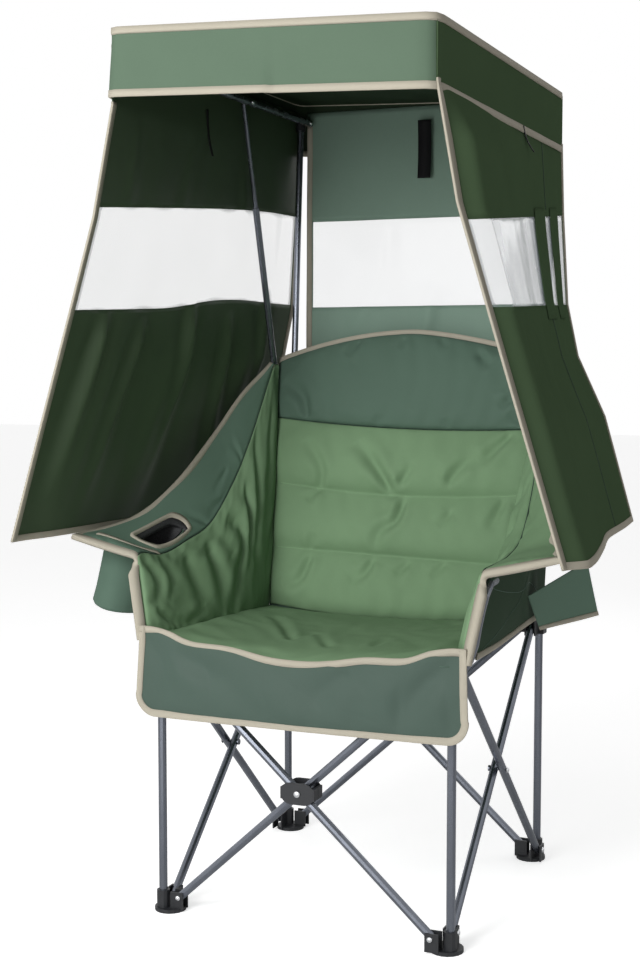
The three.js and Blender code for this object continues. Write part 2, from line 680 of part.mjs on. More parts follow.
// Grid rows that follow the slanting window: t is a share of the rows, and each row's share of the drop depends
// on u.
const rowCount = 12;
const rowShares = { valance: 2 / rowCount, top: 3 / rowCount, low: 6 / rowCount };
const rowTable = (u) => [
  [0, 0],
  [rowShares.valance, shareOfHang(0)],
  [rowShares.top, windowEdge(windowTopShares, u)],
  [rowShares.low, windowEdge(windowLowShares, u)],
  [1, 1],
];
const sideMargin = MARGIN / CURTAIN_LENGTH;

for (const [side, sx] of Object.entries(sides)) {
  const at = (u, t) => curtainPoint(sx, u, read(rowTable(u), Math.min(1 - 1e-4, Math.max(1e-4, t))));
  const us = merge([0, sideMargin, 1 - sideMargin, 1], spread(sideMargin, 1 - sideMargin, rowCount));
  const vs = spread(0, 1, rowCount);
  const open = (u, t) => u > sideMargin && u < 1 - sideMargin && t > rowShares.top && t < rowShares.low;
  add(side + "_curtain", slab({ us, vs, at, back: half, front: half, keep: (u, t) => !open(u, t) }), "curtain");
  const pane = SEAM / CURTAIN_LENGTH;
  const paneRows = SEAM / DROP;
  const paneUs = merge([sideMargin + pane, 1 - sideMargin - pane], us.slice(2, -2));
  const paneVs = spread(rowShares.top + paneRows, rowShares.low - paneRows, 3);
  const thin = () => PANE / 2;
  add(side + "_window", slab({ us: paneUs, vs: paneVs, at, back: thin, front: thin }), "window");
}

// The back curtain hangs behind the poles, between their inner sides.
const backDropShares = [0.175, 0.418];
function backCurtain() {
  const y = ROOF_BACK - CLOTH - SEAM - half();
  const at = (u, v) => {
    const z = mix(CURTAIN_TOP, CURTAIN_BOTTOM, v);
    const drop = Math.max(0, (VALANCE_LOW - z) / DROP);
    const wave = WAVE * drop * Math.sin(4 * Math.PI * u);
    return V(mix(-BACK_CURTAIN_W / 2, BACK_CURTAIN_W / 2, u), y - WAVE * drop + wave / 2, z);
  };
  const margin = MARGIN / BACK_CURTAIN_W;
  const [v0, v1] = backDropShares.map(shareOfHang);
  const us = merge([0, 1], spread(margin, 1 - margin, 10));
  const vs = merge([0, shareOfHang(0)], spread(v0, v1, 2), spread(v1, 1, 5));
  const open = (u, v) => u > margin && u < 1 - margin && v > v0 && v < v1;
  add("back_curtain", slab({ us, vs, at, back: half, front: half, keep: (u, v) => !open(u, v) }), "curtain");
  const gapU = SEAM / BACK_CURTAIN_W;
  const gapV = SEAM / (DROP + HANG);
  const paneUs = merge([margin + gapU, 1 - margin - gapU], us.slice(2, -2));
  const thin = () => PANE / 2;
  add("back_window", slab({ us: paneUs, vs: [v0 + gapV, (v0 + v1) / 2, v1 - gapV], at, back: thin, front: thin }), "window");
}
backCurtain();

// Height of the sling's middle surface: it hangs between the side edges, most at the front.
function slingZ(x, y) {
  const across = Math.max(0, 1 - (x / SLING_FLAT_X) ** 2);
  const along = mix(1, 0.5, (y + HALF_Y) / POST_SPAN_Y);
  return SLING_Z - SLING_SAG * across * along;
}

function sling() {
  const rear = HALF_Y - TUBE_R - OVERRUN;
  const at = (u, v) => {
    const x = mix(-SLING_W / 2, SLING_W / 2, u);
    const y = mix(-SKIRT_Y + half() + RUN, rear, v);
    return V(x, y, slingZ(x, y));
  };
  return slab({ us: spread(0, 1, 10), vs: spread(0, 1, 4), at, back: half, front: half });
}
add("seat_sling", sling(), "panel");

// Seat pad: a crowned cushion that lies on the sling and draws in towards the back.
function seatPad() {
  const at = (u, v) => {
    const x = (mix(SEAT_W_FRONT, SEAT_W_BACK, v) / 2) * (2 * u - 1);
    const y = mix(-SEAT_FRONT, SEAT_DEPTH - SEAT_FRONT, v) - CLOTH;
    return V(x, y, slingZ(x, y) + half() + 3 * SEAM);
  };
  const crown = (u, v) => SEAT_EDGE + SEAT_CROWN * Math.sqrt(hump(u) * hump(v));
  return slab({ us: spread(0, 1, 14), vs: spread(0, 1, 10), at, back: () => 0, front: crown });
}
add("seat_pad", seatPad(), "cushion");

// Front skirt: hangs before the posts, with rounded lower corners.
function skirt() {
  const at = (u, v) => {
    const z = mix(SKIRT_TOP, SKIRT_LOW, v);
    const up = Math.max(0, z - SKIRT_LOW);
    const round = up < SKIRT_CORNER ? SKIRT_CORNER - Math.sqrt(SKIRT_CORNER ** 2 - (SKIRT_CORNER - up) ** 2) : 0;
    const width = mix(SKIRT_W_TOP, SKIRT_W_LOW, v) / 2 - round;
    const x = width * (2 * u - 1);
    const sag = (SLING_Z - slingZ(x, -SEAT_FRONT)) * (1 - v);
    return V(x, -SKIRT_Y - SKIRT_BULGE * hump(u) * hump(v) ** 2, z - sag);
  };
  const rows = merge(spread(0, 0.7, 5), [0.8, 0.88, 0.94, 0.98, 1]);
  return slab({ us: spread(0, 1, 12), vs: rows, at, back: half, front: half });
}
add("front_skirt", skirt(), "skirt");

// The backrest's surface: y at a height, half width at a height, and the arch of its top edge.
const backY = (z) => BACK_FOOT_Y + (z - BACK_FOOT_Z) * BACK_SLOPE;
const backHalf = (z) => mix(BACK_W_LOW, BACK_W_TOP, (z - BACK_FOOT_Z) / (BACK_SIDE_TOP - BACK_FOOT_Z)) / 2;
const backTop = (s) => BACK_SIDE_TOP + BACK_ARCH * (1 - Math.abs(s) ** 2.2);

// The back's lower edge follows the dip of the sling.
const dipped = (z0) => (s) => z0 - SLING_Z + slingZ(s * backHalf(z0), BACK_FOOT_Y);

function backPiece({ lowOf, topOf, inset, lift, us, vs, back, front }) {
  const at = (u, v) => {
    const s = 2 * u - 1;
    const z = mix(lowOf(s), topOf(s), v);
    const x = s * (backHalf(Math.min(z, BACK_SIDE_TOP)) - inset);
    return V(x, backY(z) - lift, z);
  };
  return slab({ us, vs, at, back, front });
}

function backParts() {
  const shares = spread(0, 1, 12);
  const cloth = { lowOf: dipped(BACK_FOOT_Z + SEAT_EDGE / 2), topOf: backTop, inset: 0, lift: 0 };
  add("back_cloth", backPiece({ ...cloth, us: shares, vs: spread(0, 1, 4), back: half, front: half }), "panel");

  const lift = CLOTH / 2 + SEAM + OVERRUN / 4;
  const inset = PAD_EDGE;
  const lowOf = dipped(BACK_FOOT_Z + SEAT_CROWN);
  const channels = 3;
  const fat = (u, v) => {
    const swell = Math.abs(hump(v * channels)) ** 0.5;
    return PAD_EDGE + PAD_CROWN * swell * hump(u) ** 0.25;
  };
  const padTop = () => HEADREST_LOW - SEAM;
  const rows = spread(0, 1, channels * 5);
  const flat = () => 0;
  const pad = { lowOf, topOf: padTop, inset, lift };
  add("back_pad", backPiece({ ...pad, us: shares, vs: rows, back: flat, front: fat }), "cushion");

  const plump = (u, v) => PAD_EDGE + HEADREST_CROWN * (hump(u) ** 0.5) * hump(v) ** 0.6;
  const headTop = (s) => backTop(s) - PAD_EDGE;
  const head = { lowOf: () => HEADREST_LOW + SEAM, topOf: headTop, inset, lift };
  add("headrest_pad", backPiece({ ...head, us: shares, vs: spread(0, 1, 7), back: flat, front: plump }), "panel");
}
backParts();

// The seam between a side pad and its wing, and the wing's outer edge, from the arm's front to the back's top
// corner. Each row holds x and y as shares of half the post spans, and z as a share of the rise from the arm.
const ARM_FRONT_Z = 676;
const RISE = BACK_SIDE_TOP - ARM_FRONT_Z;
const seamShares = [
  [1.19, -1, 0],
  [1.188, -0.773, 0],
  [1.178, -0.388, 0.01],
  [1.16, -0.031, 0.07],
  [1.135, 0.326, 0.295],
  [1.115, 0.526, 0.49],
  [1.08, 0.9, 0.954],
];
const edgeShares = [
  [1.66, -1.024, 0.068],
  [1.618, -0.859, 0.081],
  [1.53, -0.5, 0.133],
  [1.45, -0.12, 0.285],
  [1.325, 0.36, 0.558],
  [1.21, 0.63, 0.79],
  [1.085, 0.88, 0.967],
];
// The hem of a side pad: x as a share of half the seat pad's width at that place, y as a share of half the span.
const hemShares = [
  [1.025, -1.03],
  [1.004, -0.8],
  [0.978, -0.4],
  [0.98, 0.05],
  [1.027, 0.44],
];
const seatHalf = (y) => mix(SEAT_W_FRONT, SEAT_W_BACK, (y + SEAT_FRONT) / SEAT_DEPTH) / 2;
// Behind its last ruling, a side pad runs on to the edge of the back. Each row holds a share of the pad's height,
// and x and y as shares of half the post spans.
const padRearShares = [
  [0, 0.928, 0.484],
  [0.5, 1.005, 0.742],
  [0.93, 1.068, 0.955],
  [1, 1.064, 0.968],
];
const PAD_REAR_SHARE = 0.05;
const shapeLine = (shares, sx) =>
  smooth(shares.map(([x, y, z]) => V(sx * x * HALF_X, y * HALF_Y, ARM_FRONT_Z + z * RISE)));
const hemLine = (sx) =>
  smooth(hemShares.map(([x, y]) => V(sx * x * seatHalf(y * HALF_Y), y * HALF_Y, SLING_Z + SEAT_EDGE + SEAM)));

// A strip ruled from one line to another, less a gap at each end of the rulings.
function strip(from, to, startGap, endGap, lift = () => 0) {
  return (u, v) => {
    const t = Math.min(1, Math.max(0, u));
    const a = from.getPoint(t);
    const b = to.getPoint(t);
    const length = a.distanceTo(b);
    const p = a.clone().lerp(b, mix(startGap / length, 1 - endGap / length, v));
    if (t !== u) p.addScaledVector(from.getTangent(t).add(to.getTangent(t)), (u - t) * HALF_Y);
    p.z += lift(t, v);
    return p;
  };
}

const wingLift = (u, v) => WING_HALF - SEAM + WING_CROWN * hump(v) * (1 - u);
const wingStrip = (sx) => strip(shapeLine(seamShares, sx), shapeLine(edgeShares, sx), 0, 0, wingLift);

// A closed body through rings of points, with a flat fan over each end.
function loft(rings) {
  const n = rings[0].length;
  const positions = rings.flat().flatMap((p) => [p.x, p.y, p.z]);
  const faces = [];
  for (let k = 0; k < rings.length - 1; k++) {
    for (let i = 0; i < n; i++) {
      const j = (i + 1) % n;
      const [a, b, c, d] = [k * n + i, k * n + j, (k + 1) * n + j, (k + 1) * n + i];
      faces.push(a, b, c, a, c, d);
    }
  }
  const ends = [0, rings.length - 1];
  for (const k of ends) {
    const middle = rings[k].reduce((sum, p) => sum.add(p), V(0, 0, 0)).divideScalar(n);
    const at = positions.length / 3;
    positions.push(middle.x, middle.y, middle.z);
    for (let i = 0; i < n; i++) {
      const [a, b] = [k * n + i, k * n + ((i + 1) % n)];
      faces.push(...(k ? [at, a, b] : [at, b, a]));
    }
  }
  const geometry = new THREE.BufferGeometry();
  geometry.setAttribute("position", new THREE.BufferAttribute(new Float32Array(positions), 3));
  geometry.setIndex(faces);
  return solid(geometry);
}

// The cup opening lies in the left wing. Its place and size are shares of the wing's length and width.
const cupShares = { u: 0.33, halfU: 0.115, v: 0.53, halfV: 0.28, lap: 1.06 };
const turns = Array.from({ length: CUP_SIDES }, (_, i) => (2 * Math.PI * (i + 1 / 2)) / CUP_SIDES);
const cupRing = (grow, drop) =>
  turns.map((turn) => {
    const u = cupShares.u + cupShares.halfU * grow * Math.cos(turn);
    const v = cupShares.v + cupShares.halfV * grow * Math.sin(turn);
    const p = wingStrip(-1)(u, v);
    p.z -= drop;
    return p;
  });
const cupFloor = (shrink, z) =>
  turns.map((turn) =>
    V(-CUP_X - (CUP_HALF_X - shrink) * Math.sin(turn), -CUP_Y + (CUP_HALF_Y - shrink) * Math.cos(turn), z),
  );

// Side pads run from the seat to the seam, and wings from the seam to the outer edge.
for (const [side, sx] of Object.entries(sides)) {
  const us = spread(0, 1, 14);
  const crown = (u, v) => SIDE_PAD_EDGE + SIDE_PAD_CROWN * Math.sqrt(Math.max(0, hump(u) * hump(v)));
  const edgeHalf = () => SIDE_PAD_EDGE;
  const padAt = strip(hemLine(sx), shapeLine(seamShares, sx), 2 * SIDE_PAD_EDGE, 0);
  const at = (u, v) => {
    if (u <= 1) return padAt(u, v);
    const t = Math.min(1, Math.max(0, v));
    const p = padAt(1, v);
    const x = sx * HALF_X * read(padRearShares.map(([share, xShare]) => [share, xShare]), t);
    const y = HALF_Y * read(padRearShares.map(([share, , yShare]) => [share, yShare]), t);
    return p.lerp(V(x, y, p.z), (u - 1) / PAD_REAR_SHARE);
  };
  const padUs = [...us, 1 + PAD_REAR_SHARE / 2, 1 + PAD_REAR_SHARE];
  const padSides = sx < 0 ? { back: edgeHalf, front: crown } : { back: crown, front: edgeHalf };
  add(side + "_side_pad", slab({ us: padUs, vs: spread(0, 1, 8), at, ...padSides }), "cushion");

  const upper = (u, v) => WING_HALF + WING_HALF * hump(v);
  const under = () => WING_HALF;
  const wingSides = sx < 0 ? { back: under, front: upper } : { back: upper, front: under };
  let wing = solid(slab({ us, vs: spread(0, 1, 5), at: wingStrip(sx), ...wingSides }));
  if (sx < 0) wing = cut(wing, [loft([cupRing(1, 8 * WING_HALF), cupRing(1, -8 * WING_HALF)])]);
  add(side + "_wing", surface(wing), "panel");
}

// Outer side panels: cloth from the seat's outer edge up to the underside of each wing, behind the front post.
for (const [side, sx] of Object.entries(sides)) {
  const z0 = SLING_Z + SEAT_EDGE;
  const rearOut = TUBE_R + RUN + half();
  const frontOut = lean(z0) + TUBE_R + OVERRUN;
  const wing = wingStrip(sx);
  const at = (u, v) => {
    const t = mix(PANEL_START, 1, u);
    const top = wing(t, PANEL_UNDER);
    top.x += sx * 2 * WING_HALF * u;
    top.z -= 6 * WING_HALF;
    const y = mix(TUBE_R + OVERRUN - HALF_Y, HALF_Y, u);
    const out = mix(frontOut, rearOut, u * u * (3 - 2 * u));
    return V(sx * (HALF_X + out), y, z0 - SEAT_EDGE * u).lerp(top, v);
  };
  add(side + "_outer_panel", slab({ us: spread(0, 1, 9), vs: spread(0, 1, 4), at, back: half, front: half }), "panel");
}

// Cup pocket: a cloth bag under the opening, wider and further forward at its foot.
function cupPocket() {
  const under = 2 * WING_HALF - SADDLE_PLAY;
  const blend = (a, b, t) => a.map((p, i) => p.clone().lerp(b[i], t));
  const bag = (grow, shrink, z, rise) => {
    const high = cupRing(grow, under - rise);
    const low = cupFloor(shrink, z + CUP_ROUND);
    return [cupFloor(shrink + CUP_ROUND, z), low, blend(low, high, 1 / 2), high];
  };
  const outer = loft(bag(cupShares.lap, 0, CUP_LOW, 0));
  const inner = loft(bag(1, CLOTH, CUP_LOW + CLOTH, OVERRUN));
  return surface(outer.subtract(inner));
}
add("cup_pocket", cupPocket(), "panel");

// Side flap: a bound cloth that stands out from the right outer panel, slanting to the rear.
function sideFlap() {
  const at = (u, v) => {
    const height = mix(FLAP_H, FLAP_H_OUT, u) * v;
    const y = FLAP_Y + FLAP_RUN * u + mix(FLAP_SLANT, FLAP_SLANT_OUT, u) * v;
    return V(mix(FLAP_IN, FLAP_OUT, u), y, FLAP_Z + FLAP_RISE * u - height);
  };
  const fat = (u, v) => half() + CLOTH * hump(u) * hump(v);
  return slab({ us: spread(0, 1, 6), vs: spread(0, 1, 4), at, back: fat, front: fat });
}
add("side_flap", sideFlap(), "panel");

// The origin moves to the floor under the middle of the outer box.
const model = new THREE.Group();
const box = new THREE.Box3().setFromObject(chair);
chair.position.set(-(box.min.x + box.max.x) / 2, -(box.min.y + box.max.y) / 2, -box.min.z);
model.add(chair);

export default model;
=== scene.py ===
"""Folding camp chair with a curtained canopy: cloth, padding, trim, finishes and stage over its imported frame."""

import json
import math

import bpy
import numpy as np
from mathutils import Matrix, Vector


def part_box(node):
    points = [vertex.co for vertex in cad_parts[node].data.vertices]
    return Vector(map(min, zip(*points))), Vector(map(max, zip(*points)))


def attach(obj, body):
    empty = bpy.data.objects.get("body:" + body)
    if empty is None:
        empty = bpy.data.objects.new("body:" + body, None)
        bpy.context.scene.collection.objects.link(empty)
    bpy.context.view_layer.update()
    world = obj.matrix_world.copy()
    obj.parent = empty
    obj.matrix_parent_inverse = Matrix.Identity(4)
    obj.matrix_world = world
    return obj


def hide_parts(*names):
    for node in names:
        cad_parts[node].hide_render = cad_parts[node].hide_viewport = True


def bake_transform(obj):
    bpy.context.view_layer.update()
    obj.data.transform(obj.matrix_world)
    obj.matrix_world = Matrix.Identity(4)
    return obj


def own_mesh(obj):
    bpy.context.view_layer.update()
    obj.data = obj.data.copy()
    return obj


bl_info = {
    "name": "Canopy camp chair",
    "version": (1, 0, 0),
    "blender": (4, 5, 0),
    "location": "View3D > Sidebar > Chair",
    "description": "Dresses a folding chair's frame with padded cloth, a curtained canopy and a plain stage",
    "category": "Object",
}

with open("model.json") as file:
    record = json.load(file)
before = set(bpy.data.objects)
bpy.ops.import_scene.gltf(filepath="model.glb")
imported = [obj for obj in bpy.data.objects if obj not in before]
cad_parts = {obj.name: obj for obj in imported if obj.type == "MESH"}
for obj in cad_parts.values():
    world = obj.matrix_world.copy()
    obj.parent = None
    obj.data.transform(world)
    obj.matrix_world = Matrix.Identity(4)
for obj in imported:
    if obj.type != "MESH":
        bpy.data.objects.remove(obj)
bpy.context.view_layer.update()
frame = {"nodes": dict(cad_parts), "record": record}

# The chair's own middle lies halfway between its feet. Everything below is measured from it, in metres.
FRONT_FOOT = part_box("front_left_foot")
REAR_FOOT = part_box("rear_left_foot")
MIDDLE_Y = (FRONT_FOOT[0][1] + REAR_FOOT[1][1]) / 2
HALF_X = 0.285
HALF_Y = 0.291
CLOTH = 0.0012
TAPE = 0.0011
STEP = 0.001

LEFT, RIGHT = -1, 1
SIDES = {"left": LEFT, "right": RIGHT}


def mix(a, b, t):
    """Straight blend from a to b."""
    return a + (b - a) * t


def hump(t):
    """A smooth rise and fall over 0 to 1."""
    return np.sin(np.pi * np.clip(t, 0, 1))


def ease(t):
    """A smooth step over 0 to 1."""
    t = np.clip(t, 0, 1)
    return t * t * (3 - 2 * t)


def bell(t, middle, width):
    """A smooth bump 1 high round a middle."""
    return np.exp(-(((t - middle) / width) ** 2))


def unit(vectors):
    """Vectors made one long."""
    return vectors / (np.linalg.norm(vectors, axis=-1, keepdims=True) + 1e-12)


def rows(*columns):
    """Points from three columns of numbers, moved to the model's own frame."""
    x, y, z = np.broadcast_arrays(*columns)
    return np.stack([x, y + MIDDLE_Y, z], axis=-1)


def ripple(x, y, wave, seed, lean=None, count=8):
    """Soft uneven waves about wave metres long, near one direction if lean is given."""
    rng = np.random.default_rng(seed)
    total = 0
    for _ in range(count):
        turn = rng.uniform(0, math.tau) if lean is None else lean + rng.normal(0, 0.22)
        size = wave * rng.uniform(0.7, 1.5)
        total = total + np.sin(math.tau * (x * math.cos(turn) + y * math.sin(turn)) / size + rng.uniform(0, math.tau))
    return total / math.sqrt(count)


def pucker(along, away, seed, wave=0.016, reach=0.018):
    """Small gathers that run off a line of stitches."""
    rng = np.random.default_rng(seed)
    phase = ripple(along, along * 0, wave * 5, seed + 1) * 2
    tilt = rng.uniform(-0.3, 0.3)
    return np.sin(math.tau * (along + tilt * away) / wave + phase) * np.exp(-np.abs(away) / reach)


def fold_marks(x, y, marks):
    """Creases at given lines, each a valley between two low shoulders. A mark has its points, its depth at the
    first of them, and its width."""
    total = np.zeros(np.broadcast(x, y).shape)
    for points, depth, width in marks:
        line = smooth_line(points)(np.linspace(0, 1, 20))
        away = np.full(total.shape, 9.0)
        share = np.zeros(total.shape)
        for k, (a, b) in enumerate(zip(line, line[1:])):
            run = b - a
            t = np.clip(((x - a[0]) * run[0] + (y - a[1]) * run[1]) / run.dot(run), 0, 1)
            off = np.hypot(x - a[0] - t * run[0], y - a[1] - t * run[1])
            share = np.where(off < away, (k + t) / (len(line) - 1), share)
            away = np.minimum(away, off)
        fade = np.clip(1 - share, 0, 1) ** 0.5 * np.clip(0.35 + share * 6, 0, 1)
        wide = width * (1 + 0.6 * share)
        total += depth * fade * (0.4 * bell(away, 2.1 * wide, 1.2 * wide) - bell(away, 0, wide))
    return total


def smooth_line(points):
    """A centripetal Catmull-Rom line through points, as a function of 0 to 1 over its spans."""
    pts = np.asarray(points, float)
    ends = np.vstack([2 * pts[0] - pts[1], pts, 2 * pts[-1] - pts[-2]])

    def at(t):
        t = np.asarray(t, float)
        spans = len(pts) - 1
        k = np.clip((t * spans).astype(int), 0, spans - 1)
        local = (t * spans - k)[..., None]
        p0, p1, p2, p3 = (ends[k + i] for i in range(4))
        pairs = ((p0, p1), (p1, p2), (p2, p3))
        gap = [np.sqrt(np.linalg.norm(b - a, axis=-1, keepdims=True)) + 1e-9 for a, b in pairs]
        m1 = gap[1] * ((p1 - p0) / gap[0] - (p2 - p0) / (gap[0] + gap[1]) + (p2 - p1) / gap[1])
        m2 = gap[1] * ((p2 - p1) / gap[1] - (p3 - p1) / (gap[1] + gap[2]) + (p3 - p2) / gap[2])
        s2, s3 = local**2, local**3
        return (2 * s3 - 3 * s2 + 1) * p1 + (s3 - 2 * s2 + local) * m1 + (3 * s2 - 2 * s3) * p2 + (s3 - s2) * m2

    return at


def pick(piece):
    """Makes a piece the only selected one and the active one."""
    bpy.ops.object.select_all(action="DESELECT")
    piece.select_set(True)
    bpy.context.view_layer.objects.active = piece


def settle(piece, modifier):
    """Applies a modifier of a piece."""
    pick(piece)
    bpy.ops.object.modifier_apply(modifier=modifier.name)


def run_along(points):
    """How far along a line each of its points lies."""
    return np.concatenate([[0], np.cumsum(np.linalg.norm(np.diff(points, axis=0), axis=-1))])


def make_piece(name, verts, faces, uvs):
    """A mesh object at the origin, smooth, with a UV map in metres."""
    mesh = bpy.data.meshes.new(name)
    mesh.from_pydata([tuple(map(float, v)) for v in verts], [], faces)
    layer = mesh.uv_layers.new(name="cloth")
    index = np.empty(len(mesh.loops), dtype=np.int32)
    mesh.loops.foreach_get("vertex_index", index)
    layer.data.foreach_set("uv", np.asarray(uvs, np.float32)[index].ravel())
    mesh.validate()
    piece = bpy.data.objects.new(name, mesh)
    bpy.context.scene.collection.objects.link(piece)
    mesh.polygons.foreach_set("use_smooth", [True] * len(mesh.polygons))
    return piece


def surface_of(at, us, vs):
    """A surface's points and unit normals over a grid of shares."""
    u, v = np.meshgrid(us, vs, indexing="ij")
    points = at(u, v)
    across = at(np.minimum(u + STEP, 1), v) - at(np.maximum(u - STEP, 0), v)
    along = at(u, np.minimum(v + STEP, 1)) - at(u, np.maximum(v - STEP, 0))
    return u, v, points, unit(np.cross(across, along))


def grid_faces(n, m, start, flip):
    """Quads over an n by m grid of points."""
    faces = []
    for i in range(n - 1):
        for j in range(m - 1):
            a = start + i * m + j
            quad = (a, a + m, a + m + 1, a + 1)
            faces.append(quad[::-1] if flip else quad)
    return faces


def shell(name, upper, under, u, v, flat, flip=False):
    """A closed mesh between two like grids of points. u and v are their shares of the flat size. flip turns its
    faces round."""
    n, m = upper.shape[:2]
    faces = grid_faces(n, m, 0, flip) + grid_faces(n, m, n * m, not flip)
    rim = [(i, 0) for i in range(n)] + [(n - 1, j) for j in range(1, m)]
    rim += [(i, m - 1) for i in range(n - 2, -1, -1)] + [(0, j) for j in range(m - 2, 0, -1)]
    for k, (i, j) in enumerate(rim):
        p, q = rim[(k + 1) % len(rim)]
        a, b = i * m + j, p * m + q
        quad = (b, a, n * m + a, n * m + b)
        faces.append(quad[::-1] if flip else quad)
    verts = np.concatenate([upper.reshape(-1, 3), under.reshape(-1, 3)])
    uv = np.stack([u * flat[0], v * flat[1]], axis=-1).reshape(-1, 2)
    return make_piece(name, verts, faces, np.concatenate([uv, uv]))


def cloth_piece(name, at, count, flat, front=CLOTH / 2, back=CLOTH / 2, stops=None):
    """A closed sheet or pad over at(u, v). front and back are thicknesses, or functions of u and v."""
    us, vs = (np.linspace(0, 1, n + 1) for n in count) if stops is None else stops
    u, v, points, normals = surface_of(at, us, vs)
    thick = [t(u, v) if callable(t) else np.full(u.shape, t) for t in (front, back)]
    upper, under = points + normals * thick[0][..., None], points - normals * thick[1][..., None]
    return shell(name, upper, under, u, v, flat)


def pad_piece(name, at, count, flat, crown, folds, stitches=(), side=1, back=0.0):
    """A padded piece and its front's points. The front swells in a cloth simulation, held at its border and at its
    rows of stitches, and gets its creases after it. The back is flat."""
    us, vs = (np.linspace(0, 1, n + 1) for n in count)
    u, v, points, normals = surface_of(at, us, vs)
    front = points + side * normals * crown(u, v)[..., None]
    front = swelled(front, held_at(u, v, stitches), side)
    front = front + side * normals * folds(u, v, points)[..., None]
    piece = shell(name, front, points - side * normals * back, u, v, flat, side < 0)
    smooth = piece.modifiers.new("smooth", "SUBSURF")
    smooth.levels = smooth.render_levels = 1
    settle(piece, smooth)
    return piece, front


def swelled(start, held, side, pressure=2.5, grow=0.02, soft=0.10, cap=0.009, frames=20, calm=7):
    """Runs a cloth simulation on an open grid of points and returns where they end, no further off than cap.
    calm is how often its finest wrinkles are averaged away."""
    n, m = start.shape[:2]
    mesh = bpy.data.meshes.new("work_cloth")
    mesh.from_pydata([tuple(map(float, p)) for p in start.reshape(-1, 3)], [], grid_faces(n, m, 0, side < 0))
    work = bpy.data.objects.new("work_cloth", mesh)
    scene = bpy.context.scene
    scene.collection.objects.link(work)
    group = work.vertex_groups.new(name="held")
    weights = np.clip(held, soft, 1).ravel()
    for weight in np.unique(np.round(weights, 2)):
        index = np.flatnonzero(np.abs(weights - weight) < 0.0051)
        group.add([int(i) for i in index], float(weight), "REPLACE")
    cloth = work.modifiers.new("swell", "CLOTH")
    settings = cloth.settings
    settings.quality = 5
    settings.mass = 0.2
    settings.tension_stiffness = settings.compression_stiffness = 20
    settings.shear_stiffness = 8
    settings.bending_stiffness = 0.4
    settings.tension_damping = settings.compression_damping = 10
    settings.vertex_group_mass = group.name
    settings.pin_stiffness = 1.0
    settings.use_pressure = True
    settings.uniform_pressure_force = pressure
    settings.shrink_min = -grow
    settings.effector_weights.gravity = 0
    cloth.collision_settings.use_collision = False
    cloth.point_cache.frame_start = 1
    cloth.point_cache.frame_end = frames
    for number in range(1, frames + 1):
        scene.frame_set(number)
    shown = work.evaluated_get(bpy.context.evaluated_depsgraph_get())
    ended = np.empty(n * m * 3, dtype=np.float32)
    shown.data.vertices.foreach_get("co", ended)
    scene.frame_set(1)
    bpy.data.objects.remove(work, do_unlink=True)
    moved = ended.reshape(n, m, 3).astype(float) - start
    for _ in range(calm):
        moved[1:-1] = (moved[:-2] + 2 * moved[1:-1] + moved[2:]) / 4
        moved[:, 1:-1] = (moved[:, :-2] + 2 * moved[:, 1:-1] + moved[:, 2:]) / 4
    moved *= 1 - held[..., None]
    length = np.linalg.norm(moved, axis=-1, keepdims=True) + 1e-9
    return start + moved / length * cap * np.tanh(length / cap)


def held_at(u, v, stitches):
    """1 at the border and along rows of stitches at shares v, else 0."""
    step_u, step_v = 0.6 / u.shape[0], 0.6 / u.shape[1]
    on = (u < step_u) | (u > 1 - step_u) | (v < step_v) | (v > 1 - step_v)
    for share in stitches:
        on |= np.abs(v - share) < step_v
    return on.astype(float)


def sweep(name, rings, closed=False):
    """A solid through rings of points, with caps on an open one."""
    n, m = len(rings), len(rings[0])
    verts = np.concatenate(rings)
    faces = []
    for i in range(n if closed else n - 1):
        j = (i + 1) % n
        for k in range(m):
            q = (k + 1) % m
            faces.append((i * m + k, i * m + q, j * m + q, j * m + k))
    if not closed:
        faces += [tuple(range(m))[::-1], tuple((n - 1) * m + k for k in range(m))]
    length = run_along([ring[0] for ring in rings])
    uvs = [(length[i], k * 0.003) for i in range(n) for k in range(m)]
    piece = make_piece(name, verts, faces, uvs)
    tidy_normals(piece)
    return piece


def tidy_normals(piece):
    """Turns a closed mesh's faces outwards."""
    pick(piece)
    bpy.ops.object.mode_set(mode="EDIT")
    bpy.ops.mesh.select_all(action="SELECT")
    bpy.ops.mesh.normals_make_consistent(inside=False)
    bpy.ops.object.mode_set(mode="OBJECT")


def tape(name, at, start, end, inward, width, count=80, over=CLOTH):
    """A folded tape over the edge of a surface, from share pair start to end, lying inward by width.
    over is how far the cloth's own faces stand off the surface, or a pair of it for in front and behind."""
    t = np.linspace(0, 1, count + 1)
    u, v = (mix(start[k], end[k], t) for k in (0, 1))
    edge = at(u, v)
    toward = at(np.clip(u + inward[0] * STEP, 0, 1), np.clip(v + inward[1] * STEP, 0, 1)) - edge
    share = width * STEP / np.linalg.norm(toward, axis=-1)
    return tape_along(name, edge, unit(toward), at(u + inward[0] * share, v + inward[1] * share), over)


def tape_along(name, edge, toward, inset, over=CLOTH):
    """A folded tape along a line of points. toward leads into the cloth and inset is where the tape ends."""
    over = over if isinstance(over, tuple) else (over, over)
    normal = unit(np.cross(np.gradient(edge, axis=0), toward))
    up, down = (normal * (o + TAPE) for o in over)
    out = edge - toward * TAPE
    rings = [
        [o, e + a * 0.9 - w * TAPE * 0.5, e + a, i + a, i + a * 0.6, i - b * 0.6, i - b, e - b]
        for o, e, i, a, b, w in zip(out, edge, inset, up, down, toward)
    ]
    return dress(sweep(name, [np.array(ring) for ring in rings]), "binding")


